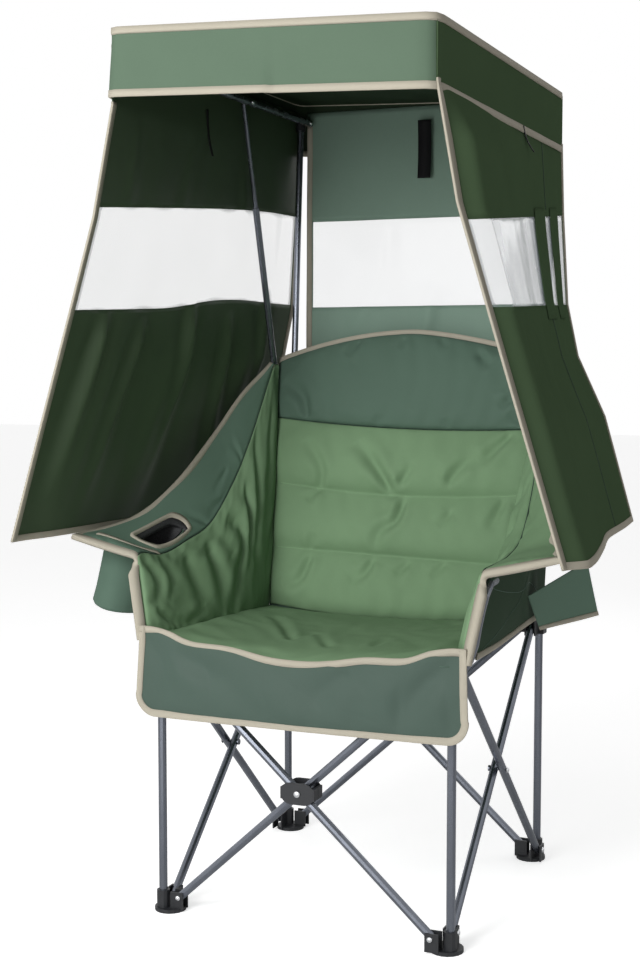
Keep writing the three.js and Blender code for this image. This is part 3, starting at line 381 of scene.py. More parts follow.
def cord_line(name, points, radius, sides=8):
    """A round cord through points."""
    along = unit(np.gradient(points, axis=0))
    side = np.cross(along[0], (0, 0, 1) if abs(along[0][2]) < 0.9 else (1, 0, 0))
    rings = []
    for p, a in zip(points, along):
        side = unit(side - a * side.dot(a))
        up = np.cross(a, side)
        turns = np.arange(sides) * math.tau / sides
        rings.append(p + radius * (np.outer(np.cos(turns), side) + np.outer(np.sin(turns), up)))
    return sweep(name, rings)


def ride_fold_x(body, *items):
    """These ride on a left leg."""
    for item in items:
        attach(item, body)
        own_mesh(item)


def ride_fold_y(body, *items):
    """These ride on a front leg."""
    for item in items:
        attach(item, body)
        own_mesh(item)


class ChairSizes(bpy.types.PropertyGroup):
    """Sizes of the cloth and its trim."""

    binding: bpy.props.FloatProperty(
        name="Binding", description="Width of the edge tape", default=0.0120, unit="LENGTH"
    )
    piping: bpy.props.FloatProperty(
        name="Piping", description="Radius of the cord in the arm seams", default=0.0014, unit="LENGTH"
    )
    puff: bpy.props.FloatProperty(
        name="Puff", description="How far the seat stands above its edge", default=0.017, unit="LENGTH"
    )


def colour_property(name, words, value):
    """A colour setting with its default."""
    return bpy.props.FloatVectorProperty(name=name, description=words, default=value, size=3, subtype="COLOR")


class ChairColours(bpy.types.PropertyGroup):
    """Colours of the finishes."""

    cushion: colour_property("Cushion", "Padded seat and back", (0.166, 0.266, 0.150))
    headrest: colour_property("Headrest", "Headrest, sling, rear of the back and cup bag", (0.084, 0.137, 0.103))
    skirt: colour_property("Skirt", "Front skirt", (0.064, 0.097, 0.079))
    roof: colour_property("Roof", "Roof cloth", (0.102, 0.152, 0.106))
    # Painted light: a lighter copy of the headrest cloth, for the light on the left arm top and the side flap.
    arm: colour_property("Arm", "Left arm top and flap", (0.122, 0.198, 0.148))
    # Painted shade: the outer side panels are darker than their cloth, for the shade that lies on them.
    side: colour_property("Side panel", "Outer side panels", (0.038, 0.064, 0.040))
    # Painted shade: the roof's underside takes this darker colour instead of the roof cloth's own.
    lining: colour_property("Roof underside shade", "Underside of the roof", (0.024, 0.040, 0.021))
    # On the valance's sides this colour is painted shade.
    curtain: colour_property("Curtain", "Side curtains and the valance's sides", (0.070, 0.112, 0.058))
    # Painted light: the back curtain's colour is raised well above the other curtains' for light that falls through
    # and off it.
    back: colour_property("Back curtain", "Back curtain", (0.198, 0.290, 0.232))
    binding: colour_property("Binding", "Edge tape and piping", (0.400, 0.370, 0.300))
    tube: colour_property("Tube", "Steel tubes", (0.150, 0.162, 0.190))
    plastic: colour_property("Plastic", "Feet, brackets and hubs", (0.010, 0.011, 0.013))


class Nodes:
    """Short ways to add and join shader nodes."""

    def __init__(self, tree):
        self.tree = tree

    def add(self, kind, inputs=(), **settings):
        """A node with its settings and inputs. An input is a value or another node's socket."""
        node = self.tree.nodes.new(kind)
        for key, value in settings.items():
            setattr(node, key, value)
        for key, value in dict(inputs).items():
            if isinstance(value, bpy.types.NodeSocket):
                self.tree.links.new(value, node.inputs[key])
            else:
                node.inputs[key].default_value = value
        return node

    def math(self, operation, a, b):
        """One arithmetic step."""
        return self.add("ShaderNodeMath", {0: a, 1: b}, operation=operation).outputs[0]


class Finish(Nodes):
    """A material's nodes, with short ways into its shader."""

    def __init__(self, name):
        self.material = bpy.data.materials.new(name)
        self.material.use_nodes = True
        super().__init__(self.material.node_tree)
        self.shader = self.tree.nodes["Principled BSDF"]
        self.coordinates = self.tree.nodes.new("ShaderNodeTexCoord")

    def noise(self, scale, detail=3.0, stretch=(1, 1, 1)):
        """Noise of a scale in object space."""
        place = self.coordinates.outputs["Object"]
        mapping = self.add("ShaderNodeMapping", {"Vector": place, "Scale": stretch})
        node = self.add("ShaderNodeTexNoise", {"Vector": mapping.outputs[0], "Scale": scale, "Detail": detail})
        return node.outputs["Fac"]

    def tint(self, factor, dark, light):
        """Leads a colour between two into the shader, by a factor."""
        ends = {"Factor": factor, "A": (*dark, 1), "B": (*light, 1)}
        self.join(self.add("ShaderNodeMix", ends, data_type="RGBA").outputs["Result"], "Base Color")

    def join(self, socket, name):
        """Leads a socket into the shader."""
        self.tree.links.new(socket, self.shader.inputs[name])

    def rough(self, factor, low, high):
        """Leads a roughness between two into the shader, by a factor."""
        span = self.add("ShaderNodeMapRange", {"Value": factor, "To Min": low, "To Max": high})
        self.join(span.outputs[0], "Roughness")

    def fix(self, **values):
        """Gives the shader's inputs fixed values, with _ for the blanks in their names."""
        for name, value in values.items():
            self.shader.inputs[name.replace("_", " ")].default_value = value

    def bump(self, height, strength, distance):
        """Sends a height to the shader's normal."""
        node = self.add("ShaderNodeBump", {"Height": height, "Strength": strength, "Distance": distance})
        self.join(node.outputs[0], "Normal")


def shade(colour, amount):
    """A colour made lighter or darker."""
    return tuple(c * amount for c in colour)


def woven(name, colour, roughness=0.70, thread=0.0007, contrast=0.10, coat=0.0, crumple=0.25, gloss=0.1):
    """Plain woven polyester: crossed threads, soft blotches and faint wrinkles."""
    n = Finish(name)
    grid = {"Vector": n.coordinates.outputs["UV"], "Scale": 1 / (thread * 6.2832), "Distortion": 0.4, "Detail": 1.0}
    waves = [n.add("ShaderNodeTexWave", grid, bands_direction=turn).outputs["Fac"] for turn in ("X", "Y")]
    weave = n.math("MULTIPLY", *waves)
    blotch = n.noise(6.0, 3.0)
    fine = n.noise(320.0, 2.0)
    factor = n.math("ADD", n.math("MULTIPLY", blotch, 0.7), n.math("MULTIPLY", fine, 0.3))
    n.tint(factor, shade(colour, 1 - contrast), shade(colour, 1 + contrast))
    n.rough(blotch, roughness - 0.06, roughness + 0.06)
    soft = n.noise(24.0, 3.5)
    height = n.math("ADD", n.math("MULTIPLY", weave, 0.08), n.math("MULTIPLY", soft, 0.92))
    n.bump(height, crumple, 0.0016)
    n.fix(Specular_IOR_Level=gloss, Coat_Weight=coat, Coat_Roughness=0.42)
    return n.material


def powder_coat(name, colour):
    """Dark metallic paint on tube, with fine grain and small scuffs."""
    n = Finish(name)
    grain = n.noise(900.0, 2.0)
    scuff = n.noise(26.0, 6.0, (1, 1, 0.25))
    n.tint(scuff, shade(colour, 0.85), shade(colour, 1.35))
    n.rough(scuff, 0.2, 0.34)
    n.fix(Metallic=0.9)
    n.bump(grain, 0.08, 0.0003)
    return n.material


def moulded(name, colour):
    """Black moulded plastic with a fine spark texture."""
    n = Finish(name)
    spark = n.noise(1400.0, 3.0)
    wear = n.noise(18.0, 4.0)
    n.tint(wear, shade(colour, 0.8), shade(colour, 1.7))
    n.rough(wear, 0.38, 0.55)
    n.bump(spark, 0.15, 0.0003)
    return n.material


def bright_metal(name):
    """Plated steel for the rivets."""
    n = Finish(name)
    haze = n.noise(60.0, 4.0)
    n.tint(haze, (0.55, 0.56, 0.58), (0.8, 0.81, 0.83))
    n.rough(haze, 0.16, 0.3)
    n.fix(Metallic=1.0)
    return n.material


def clear_film(name):
    """Soft clear sheet, milkier where it is seen from the side."""
    n = Finish(name)
    cloud = n.noise(5.0, 3.0)
    n.tint(cloud, (0.50, 0.54, 0.57), (0.58, 0.62, 0.65))
    n.bump(n.noise(9.0, 2.5), 0.12, 0.003)
    facing = n.add("ShaderNodeLayerWeight", {"Blend": 0.5}).outputs["Facing"]
    span = {"Value": facing, "From Min": 0.58, "From Max": 0.76, "To Min": 0.07, "To Max": 0.5}
    veil = n.add("ShaderNodeMapRange", span).outputs[0]
    n.join(n.math("ADD", veil, n.math("MULTIPLY", cloud, 0.06)), "Alpha")
    n.fix(Roughness=0.16, Specular_IOR_Level=0.2)
    return n.material


def mesh_net(name):
    """Black open net for the cup pocket."""
    n = Finish(name)
    place = n.coordinates.outputs["Object"]
    cell = n.add("ShaderNodeTexVoronoi", {"Vector": place, "Scale": 420.0}).outputs["Distance"]
    n.tint(cell, (0.004, 0.004, 0.005), (0.03, 0.032, 0.034))
    n.fix(Roughness=0.7)
    n.bump(cell, 0.6, 0.001)
    return n.material


# The finishes by the names that dress() uses, filled by the first step.
MATERIALS = {}


def dress(piece, material):
    """Gives a piece its material."""
    piece.data.materials.clear()
    piece.data.materials.append(MATERIALS[material])
    return piece


class CHAIR_OT_finishes(bpy.types.Operator):
    """Make the materials and put them on the frame."""

    bl_idname = "chair.finishes"
    bl_label = "Finishes"

    def execute(self, context):
        colours = context.scene.chair_colours
        MATERIALS.update(
            cushion=woven("cushion_polyester", colours.cushion, 0.72),
            headrest=woven("headrest_polyester", colours.headrest, 0.66),
            skirt=woven("skirt_polyester", colours.skirt, 0.58, coat=0.04),
            roof=woven("roof_polyester", colours.roof, 0.6, gloss=0.03),
            # The arm colour is the headrest cloth lightened as painted light.
            arm=woven("arm_lit_polyester", colours.arm, 0.66),
            curtain=woven("curtain_polyester", colours.curtain, 0.8, gloss=0.0),
            # Painted shade: the left curtain is the same cloth darkened, for the shade on its inner face.
            inner_curtain=woven("left_curtain_shaded_polyester", shade(colours.curtain, 0.68), 0.5, gloss=0.2),
            # The back curtain's lighter colour is painted light.
            back=woven("back_curtain_lit_polyester", colours.back, 0.6, crumple=0.5, gloss=0.12),
            # The stitched seams' thread is lighter than the cushion: partly the thread's own colour, partly a painted
            # highlight along the seams.
            thread=woven("stitched_seam", shade(colours.cushion, 1.3), 0.7, 0.0009, 0.08),
            dark_seam=woven("dark_seam", shade(colours.headrest, 0.45), 0.7, 0.0009, 0.08),
            # The roof's underside: the roof cloth darkened as painted shade.
            lining=woven("canopy_underside_shade", colours.lining, 0.7),
            # The side panels' colour holds painted shade.
            side=woven("side_panel_shaded_polyester", colours.side, 0.7, gloss=0.03),
            binding=woven("binding_tape", colours.binding, 0.8, 0.0011, 0.08, crumple=0.12),
            strap=woven("black_webbing", (0.012, 0.012, 0.013), 0.7, 0.0015, 0.3),
            tube=powder_coat("steel_powder_coat", colours.tube),
            plastic=moulded("black_plastic", colours.plastic),
            rivet=bright_metal("rivet_steel"),
            film=clear_film("clear_window_film"),
            net=mesh_net("pocket_net"),
        )
        for part in frame["record"]["subparts"]:
            node, kind = frame["nodes"].get(part["node"]), part["material_slot"]
            if node is not None and kind in ("tube", "plastic"):
                dress(node, kind)
                for face in node.data.polygons:
                    face.material_index = 0
        return {"FINISHED"}


# How deep folds are made, as a multiple of the depths in their tables.
FOLD_SCALE = {"skirt": 1.1, "back": 1.25, LEFT: 1.7, RIGHT: 0.35}

# Seat: the sling hangs between the side edges, most at the front, and the cushion lies on it.
SLING_Z = 0.5125
SLING_SAG = 0.026
SLING_FLAT_X = 0.25
SEAT_FRONT = 0.306
SEAT_DEPTH = 0.444
SEAT_WIDTHS = (0.594, 0.520)
SEAT_RIM = 0.007
SLING_HALF = 0.287
SLING_ENDS = (-0.3135, 0.281)
SKIRT_Y = 0.315
SKIRT_WIDTHS = (0.634, 0.646)
SKIRT_Z = (0.528, 0.3775)
CORNER_LIFT = 0.017
MIDDLE_LIFT = 0.0085
SKIRT_CORNER = 0.038
SKIRT_BELLY = 0.008
SKIRT_SLANT = 0.004
SKIRT_MARKS = (
    (((-0.31, 0.515), (-0.27, 0.470), (-0.25, 0.415)), 0.0075, 0.016),
    (((-0.25, 0.505), (-0.13, 0.455), (-0.06, 0.395)), 0.0085, 0.020),
    (((0.30, 0.515), (0.22, 0.450), (0.20, 0.395)), 0.0080, 0.018),
    (((0.10, 0.505), (0.03, 0.440)), 0.0050, 0.018),
)


def sling_z(x, y):
    """Height of the sling."""
    across = np.clip(1 - (x / SLING_FLAT_X) ** 2, 0, 1)
    return SLING_Z - SLING_SAG * across * mix(1, 0.5, (y + HALF_Y) / (2 * HALF_Y))


def corner_lift(x):
    """How far the side pads pull the seat's front edge up, from its middle out to its corners."""
    away = np.abs(x)
    return MIDDLE_LIFT * bell(away, 0.13, 0.06) + CORNER_LIFT * ease((away - 0.2) / 0.1)


def seat_at(u, v):
    """Underside of the seat cushion."""
    x = mix(*SEAT_WIDTHS, v) / 2 * (2 * u - 1)
    y = mix(-SEAT_FRONT, SEAT_DEPTH - SEAT_FRONT, v) - 2 * CLOTH
    return rows(x, y, sling_z(x, y) + 0.0027 + corner_lift(x) * np.exp(-v / 0.12))


SEAT_MARKS = (
    (((-0.063, -0.198), (-0.126, -0.090), (-0.201, 0.012)), 0.0060, 0.0080),
    (((-0.063, -0.198), (-0.054, -0.159), (-0.044, -0.118)), 0.0040, 0.0070),
    (((0.028, -0.229), (-0.043, -0.117)), 0.0040, 0.0075),
    (((0.113, -0.216), (0.109, -0.137)), 0.0035, 0.0075),
    (((0.240, 0.090), (0.180, 0.010), (0.150, -0.060)), 0.0040, 0.0080),
)


def seat_crown(puff):
    """Thickness of the seat cushion, fullest in front and thin at its rear sides."""

    def thick(u, v):
        swell = (hump(u) * hump(v)) ** 0.36
        edge = np.minimum(np.minimum(u, 1 - u) * 0.54, np.minimum(v, 1 - v) * SEAT_DEPTH)
        gathers = 0.0005 * pucker((u - v) * 0.5, edge, 3, 0.055, 0.022) * (1 - np.exp(-edge / 0.006))
        rear = 1 - 0.3 * ease((v - 0.45) / 0.5) * np.abs(2 * u - 1) ** 1.5
        return SEAT_RIM + puff * swell * rear + gathers

    return thick


def seat_folds(u, v, points):
    """The seat's few creases, with a slow swell over its middle."""
    x, y = points[..., 0], points[..., 1] - MIDDLE_Y
    return fold_marks(x, y, SEAT_MARKS) + 0.0014 * ripple(x, y, 0.2, 5, lean=1.1) * hump(u) * hump(v)


def skirt_at(u, v):
    """The hanging skirt, with rounded lower corners and soft upright swells."""
    return skirt_point(skirt_half(v) * (2 * u - 1), v)


def skirt_half(v):
    """Half the skirt's width at a share of its height, narrower at the rounded corners."""
    up = np.clip(mix(*SKIRT_Z, v) - SKIRT_Z[1], 0, None)
    below = np.clip(SKIRT_CORNER - up, 0, None)
    inset = SKIRT_CORNER - np.sqrt(np.clip(SKIRT_CORNER**2 - below**2, 0, None))
    return mix(*SKIRT_WIDTHS, v) / 2 - inset


def skirt_point(x, v):
    """A point of the skirt at a place across and a share of its height."""
    z = mix(*SKIRT_Z, v)
    u = np.clip(0.5 + x / mix(*SKIRT_WIDTHS, v), 0, 1)
    sag = (SLING_Z - sling_z(x, -SEAT_FRONT) - corner_lift(x)) * (1 - v)
    hang = np.clip(v * 2.2, 0, 1)
    wave = 0.0026 * ripple(x, z, 0.19, 21, lean=0.2) + 0.0008 * ripple(x, z, 0.08, 22, lean=0.4)
    belly = SKIRT_BELLY * hump(u) ** 0.5 * ease(v * 1.25)
    slant = SKIRT_SLANT * bell(x, (0.50 - z) * 2.6 - 0.25, 0.10) * hump(v)
    folds = FOLD_SCALE["skirt"] * fold_marks(x, z, SKIRT_MARKS) * hump(v) ** 0.5 * hump(u) ** 0.25
    y = -SKIRT_Y - belly - slant * hump(u) - np.abs(wave) * hang * ease((1 - v) * 5) - folds
    return rows(x, y, z - sag)


def skirt_share(z):
    """How far down the skirt a height lies."""
    return (SKIRT_Z[0] - z) / (SKIRT_Z[0] - SKIRT_Z[1])


def skirt_rim(width, count=240):
    """The binding's outer and inner line, down one side of the skirt, along its hem and up the other."""
    turn = np.linspace(0, math.pi / 2, 24)
    low = SKIRT_Z[1] + SKIRT_CORNER
    side = np.linspace(SKIRT_Z[0], low, 50)[:-1]
    foot = SKIRT_WIDTHS[1] / 2 - SKIRT_CORNER
    across = np.concatenate([-skirt_half(skirt_share(side)), -foot - SKIRT_CORNER * np.cos(turn)])
    height = np.concatenate([side, low - SKIRT_CORNER * np.sin(turn)])
    across, height = np.concatenate([across, -across[::-1]]), np.concatenate([height, height[::-1]])
    away = run_along(np.stack([across, height], axis=-1))
    even = np.linspace(0, away[-1], count)
    across, height = np.interp(even, away, across), np.interp(even, away, height)
    dx, dz = np.gradient(across), np.gradient(height)
    reach = width / np.hypot(dx, dz)

    def at(x, z):
        return skirt_point(x, np.clip(skirt_share(z), 0, 1))

    return at(across, height), at(across - dz * reach, height + dx * reach)


class CHAIR_OT_seat(bpy.types.Operator):
    """Make the seat cushion, its sling and the skirt."""

    bl_idname = "chair.seat"
    bl_label = "Seat"

    def execute(self, context):
        sizes = context.scene.chair_sizes
        crown = seat_crown(sizes.puff)
        cushion, _ = pad_piece("seat_cushion", seat_at, (110, 88), (0.56, SEAT_DEPTH), crown, seat_folds)
        dress(cushion, "cushion")
        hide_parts("seat_pad")
        ride_fold_x("front_left_leg", cushion)

        def sling_at(y0, y1):
            def at(u, v):
                x = mix(-SLING_HALF, SLING_HALF, u)
                y = mix(y0, y1, v)
                return rows(x, y, sling_z(x, y))

            return at

        spans = {"front": (SLING_ENDS[0], 0, "front_left_leg"), "rear": (0, SLING_ENDS[1], "rear_left_leg")}
        for word, (y0, y1, body) in spans.items():
            sling = cloth_piece("seat_sling_" + word, sling_at(y0, y1), (60, 30), (0.58, y1 - y0))
            dress(sling, "headrest")
            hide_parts("seat_sling")
            ride_fold_x(body, sling)

        skirt = cloth_piece("hanging_skirt", skirt_at, (140, 60), (0.638, 0.17))
        dress(skirt, "skirt")
        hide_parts("front_skirt")
        edge, inner = skirt_rim(sizes.binding)
        tapes = [
            tape("skirt_binding_top", skirt_at, (0, 0), (1, 0), (0, 1), sizes.binding),
            tape_along("skirt_binding_rim", edge, unit(inner - edge), inner),
        ]
        ride_fold_x("front_left_leg", skirt, *tapes)
        return {"FINISHED"}


# Back: y and half width at a height, and the arch of the top edge.
BACK_Y = 0.143
BACK_Z = 0.515
BACK_SLOPE = 0.3072
BACK_HALVES = (0.262, 0.311)
BACK_TOP = 1.045
BACK_ARCH = 0.059
PAD_LIFT = 0.0022
BACK_RIM = 0.0045
CHANNEL_SWELL = 0.021
HEADREST_SWELL = 0.024
TOP_BINDING = 0.0125
CHANNELS = 3


def back_half(z):
    """Half width of the back."""
    return mix(*BACK_HALVES, (np.minimum(z, BACK_TOP) - BACK_Z) / (BACK_TOP - BACK_Z))


def back_top(s):
    """Height of the arched top edge, whose right shoulder hangs lower."""
    return BACK_TOP + BACK_ARCH * (1 - np.abs(s) ** np.where(s > 0, 1.45, 1.95))


def seam_z(level, slope, bow):
    """Height of a row of stitches across the back."""

    def height(s):
        x = s * back_half(level)
        return level + slope * x + bow * x**2

    return height


LOW_SEAM = seam_z(0.634, -0.030, 0.0)
HIGH_SEAM = seam_z(0.7565, -0.020, 0.191)
HEADREST_SEAM = seam_z(0.8948, -0.0275, 0.136)
BACK_MARKS = (
    (((-0.173, 0.765), (-0.170, 0.805), (-0.215, 0.865)), 0.0096, 0.0077),
    (((-0.009, 0.762), (-0.051, 0.816), (-0.100, 0.863)), 0.0128, 0.0088),
    (((0.009, 0.777), (0.035, 0.818)), 0.0072, 0.0066),
    (((0.113, 0.780), (0.126, 0.802), (0.175, 0.846)), 0.0088, 0.0077),
    (((0.236, 0.887), (0.164, 0.808)), 0.0088, 0.0077),
    (((-0.177, 0.765), (-0.198, 0.737)), 0.0080, 0.0066),
    (((0.018, 0.753), (0.007, 0.702), (-0.020, 0.682), (-0.040, 0.629)), 0.0096, 0.0077),
    (((0.232, 0.756), (0.210, 0.692)), 0.0088, 0.0077),
    (((0.123, 0.724), (0.103, 0.695)), 0.0056, 0.0066),
    (((-0.180, 0.641), (-0.170, 0.670)), 0.0072, 0.0066),
    (((-0.035, 0.625), (-0.051, 0.592), (-0.079, 0.577)), 0.0088, 0.0077),
    (((-0.175, 0.629), (-0.193, 0.575), (-0.228, 0.561)), 0.0088, 0.0077),
    (((0.121, 0.624), (0.095, 0.596)), 0.0064, 0.0066),
    (((0.042, 0.620), (0.019, 0.596)), 0.0064, 0.0066),
)
HEADREST_MARKS = (
    (((-0.222, 0.914), (-0.233, 0.954), (-0.282, 0.993)), 0.0112, 0.0092),
    (((0.228, 0.954), (0.206, 0.938)), 0.0060, 0.0069),
    (((0.154, 1.046), (0.179, 1.017)), 0.0067, 0.0075),
    (((-0.119, 1.077), (-0.143, 1.042)), 0.0067, 0.0069),
    (((-0.017, 1.078), (-0.023, 1.057)), 0.0053, 0.0063),
    (((0.063, 1.080), (0.081, 1.057)), 0.0053, 0.0063),
    (((0.262, 0.905), (0.225, 0.925)), 0.0067, 0.0075),
    (((-0.060, 0.900), (-0.052, 0.918)), 0.0045, 0.0063),
    (((0.100, 0.897), (0.090, 0.914)), 0.0045, 0.0063),
)


def dipped(z0):
    """A lower edge that follows the dip of the sling."""
    return lambda s: z0 - SLING_Z + sling_z(s * back_half(z0), BACK_Y)


def back_at(low, top, inset, lift):
    """A stretch of the back, from low up to top."""

    def at(u, v):
        s = 2 * u - 1
        z = mix(low(s), top(s), v)
        y = BACK_Y + (z - BACK_Z) * BACK_SLOPE - lift
        return rows(s * (back_half(z) - inset), y, z)

    return at


def channels_at(u, v):
    """The padded back, whose shares v of a third and two thirds lie on its rows of stitches."""
    s = 2 * u - 1
    stops = np.stack([dipped(BACK_Z + 0.009)(s), LOW_SEAM(s), HIGH_SEAM(s), HEADREST_SEAM(s) - 0.0005])
    row = np.clip((v * CHANNELS).astype(int), 0, CHANNELS - 1)
    low = np.take_along_axis(stops, row[None], 0)[0]
    high = np.take_along_axis(stops, row[None] + 1, 0)[0]
    z = mix(low, high, v * CHANNELS - row)
    y = BACK_Y + (z - BACK_Z) * BACK_SLOPE - PAD_LIFT
    return rows(s * (back_half(z) - 0.004), y, z)


def channel_crown(u, v):
    """Three swelling channels between rows of stitches, with gathers running off each row."""
    x = (u - 0.5) * 0.55
    place = v * CHANNELS
    away = np.abs(place - np.round(place)) * 0.36 / CHANNELS
    part = place - np.clip(np.floor(place), 0, CHANNELS - 1)
    swell = 1.18 * (1 - (1 - part) ** 6) * np.clip(1 - part**1.7, 0, 1) ** 0.75
    side = hump(u) ** 0.22
    row = np.round(place).astype(int)
    gathers = sum(np.where(row == k, pucker(x, away, 30 + k, 0.047, 0.024), 0) for k in range(CHANNELS + 1))
    scallop = 0.0035 * np.where(row == 0, pucker(x, away, 38, 0.062, 0.03), 0)
    return BACK_RIM + CHANNEL_SWELL * side * swell + (0.0014 * gathers + scallop) * swell * side


def back_folds(u, v, points):
    """The back's creases, which stop at its rows of stitches."""
    x, z = points[..., 0], points[..., 2]
    swell = np.abs(np.sin(np.pi * v * CHANNELS)) ** 0.35
    folds = FOLD_SCALE["back"] * fold_marks(x, z, BACK_MARKS)
    return swell * (folds + 0.0012 * ripple(x, z, 0.16, 46, lean=0.4))


def headrest_crown(u, v):
    """One plump swell, fullest below the middle."""
    x = (u - 0.5) * 0.6
    swell = hump(u) ** 0.36 * hump(v) ** 0.45
    edge = np.minimum(v, 1 - v) * 0.2
    gathers = 0.0014 * pucker(x, edge, 53, 0.05, 0.024) * hump(v) ** 0.4
    return BACK_RIM + HEADREST_SWELL * swell + gathers


def headrest_folds(u, v, points):
    """The headrest's corner folds and the gathers at its top."""
    x, z = points[..., 0], points[..., 2]
    folds = FOLD_SCALE["back"] * fold_marks(x, z, HEADREST_MARKS)
    return hump(v) ** 0.25 * (folds + 0.0010 * ripple(x, z, 0.2, 51, lean=1.2))


class CHAIR_OT_back(bpy.types.Operator):
    """Make the padded back, the headrest and the cloth behind them."""

    bl_idname = "chair.back"
    bl_label = "Back"

    def execute(self, context):
        cloth = back_at(dipped(BACK_Z + 0.005), back_top, 0, 0)
        rear = cloth_piece("back_cover", cloth, (80, 40), (0.62, 0.6))
        dress(rear, "headrest")
        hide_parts("back_cloth")
        stitches = [k / CHANNELS for k in range(1, CHANNELS)]
        crown = channel_crown
        pad, front = pad_piece("back_channels", channels_at, (120, 90), (0.55, 0.38), crown, back_folds, stitches)
        dress(pad, "cushion")
        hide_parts("back_pad")
        high = back_at(lambda s: HEADREST_SEAM(s) + 0.0005, lambda s: back_top(s) - 0.0095, 0.005, PAD_LIFT)
        head, _ = pad_piece("headrest_cushion", high, (120, 50), (0.6, 0.2), headrest_crown, headrest_folds)
        dress(head, "headrest")
        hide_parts("headrest_pad")
        rim = tape("back_binding_top", cloth, (0, 1), (1, 1), (0, -1), TOP_BINDING, 120, over=(0.0062, CLOTH))
        seams = []
        for k, share in enumerate(stitches):
            row = front[3:-3, round(share * 90)]
            seams.append(cord_line(f"back_stitches_{k}", row + np.array([0, -0.0004, 0.0001]), 0.0008, 6))
            dress(seams[-1], "thread")
        ride_fold_x("rear_left_leg", rear, pad, head, rim, *seams)
        return {"FINISHED"}


# Arms: the seam between each side pad and its wing, the wing's outer edge, and the side pad's hem. Each row holds x
# and y as shares of half the post spans, and z as a share of the rise from the arm's front to the back's corner.
ARM_FRONT_Z = 0.676
RISE = BACK_TOP - ARM_FRONT_Z
SEAM_SHARES = (
    (1.19, -1, 0),
    (1.188, -0.773, 0),
    (1.178, -0.388, 0.01),
    (1.16, -0.031, 0.07),
    (1.135, 0.326, 0.295),
    (1.115, 0.526, 0.49),
    (1.08, 0.9, 0.954),
)
EDGE_SHARES = (
    (1.66, -1.024, 0.068),
    (1.618, -0.859, 0.081),
    (1.50, -0.5, 0.133),
    (1.40, -0.12, 0.285),
    (1.315, 0.36, 0.558),
    (1.21, 0.63, 0.79),
    (1.085, 0.88, 0.967),
)
# The side pad's length and height as used for its folds, and its thickness at its rim and in its swell.
SIDE_LENGTH = 0.6
SIDE_HEIGHT = 0.25
SIDE_RIM = 0.004
SIDE_SWELL = 0.016
# How much further back the right pad's folds lie, as a share of the length.
SIDE_SHIFT = 0.035
HEM_SHARES = ((1.025, -1.03), (1.004, -0.8), (0.978, -0.4), (0.98, 0.05), (1.027, 0.44))
REAR_SHARES = ((0, 0.5, 0.93, 1), (0.928, 1.005, 1.068, 1.064), (0.484, 0.742, 0.955, 0.968))
REAR_SHARE = 0.05
WING_HALF = 0.003
ARM_BINDING = 0.0125
WING_CROWN = 0.003
CORNER_DROP = 0.010
SEAM_SAG = 0.014
CUP = {"u": 0.32, "half_u": 0.108, "v": 0.31, "half_v": 0.27}
# The side panel's lower edge: how high above the sling, and how far outside the front post's lean and the rear post.
PANEL_RISE = 0.010
PANEL_OUT = (0.010, 0.0095)
PANEL_BILLOW = 0.006
# Heights on the front post, and how far it stands outside its foot there.
POST_LEAN = ((0.478, 0.528, 0.594, 0.635, 0.652, 0.657), (0, 0.033, 0.047, 0.057, 0.060, 0.061))
# The side flap: x, y and z at its root and at its free end, and how far back and down it reaches there.
FLAP_X = (0.3129, 0.415)
FLAP_Y = (0.097, 0.158)
FLAP_Z = (0.580, 0.647)
FLAP_BACK = (0.088, 0.106)
FLAP_DROP = (0.080, 0.121)
FLAP_SWAY = 0.006
CUP_TURNS = math.tau * (np.arange(48) + 0.5) / 48
CUP_FLOOR = 0.557
CUP_MIDDLE = (-0.430, -0.165)
CUP_HALVES = (0.058, 0.088)
CUP_TILT = 0.2
PANEL_SHARE = 0.04
# How far the arm seam's cord lies inside the seam and above it.
PIPING_PLACE = (0.0030, 0.0042)
# Along the front post, where a front binding's outer and inner line lie from the pad's edge: outwards, and in y.
POST_OUTER = (0.0125, -0.0105)
POST_INNER = (-0.003, -0.001)
BINDING_HALF = 0.0042
POCKET_LINE = ((0.12, 0.8), (0.12, 0.3), (0.2, 0.0))
POCKET_BINDING = 0.016
POCKET_TAPE = 0.001


def share_line(table, side):
    """A line through a table of shares, on one side."""
    return smooth_line([rows(side * x * HALF_X, y * HALF_Y, ARM_FRONT_Z + z * RISE) for x, y, z in table])


def seam_line(side):
    """The seam between a side pad and its arm top, rounded down at the front corner and drawn down by the cup."""
    line = share_line(SEAM_SHARES, side)
    sag = SEAM_SAG if side == LEFT else 0

    def at(u):
        points = line(u)
        points[..., 2] -= CORNER_DROP * np.exp(-np.asarray(u) / 0.02) + sag * bell(u, 0.21, 0.12)
        return points

    return at


def hem_line(side):
    """Where a side pad meets the seat."""

    def half(y):
        return mix(*SEAT_WIDTHS, (y + SEAT_FRONT) / SEAT_DEPTH) / 2

    return smooth_line([rows(side * x * half(y * HALF_Y), y * HALF_Y, SLING_Z + 0.0105) for x, y in HEM_SHARES])


def strip(start_line, end_line, start_gap, end_gap, lift=None):
    """A surface ruled from one line to another, less a gap at each end of the rulings."""

    def at(u, v):
        a, b = start_line(u), end_line(u)
        length = np.linalg.norm(b - a, axis=-1)
        share = mix(start_gap / length, 1 - end_gap / length, v)[..., None]
        points = a + (b - a) * share
        if lift is not None:
            points[..., 2] += lift(u, v)
        return points

    return at


def wing_strip(side):
    """The upper face of an arm, from its seam to its outer edge."""

    def lift(u, v):
        front = 1 - np.exp(-u / 0.06)
        return WING_HALF - 0.0005 + (WING_CROWN * front - 0.002 * (1 - front)) * hump(v) * (1 - u)

    return strip(seam_line(side), share_line(EDGE_SHARES, side), 0, 0, lift)


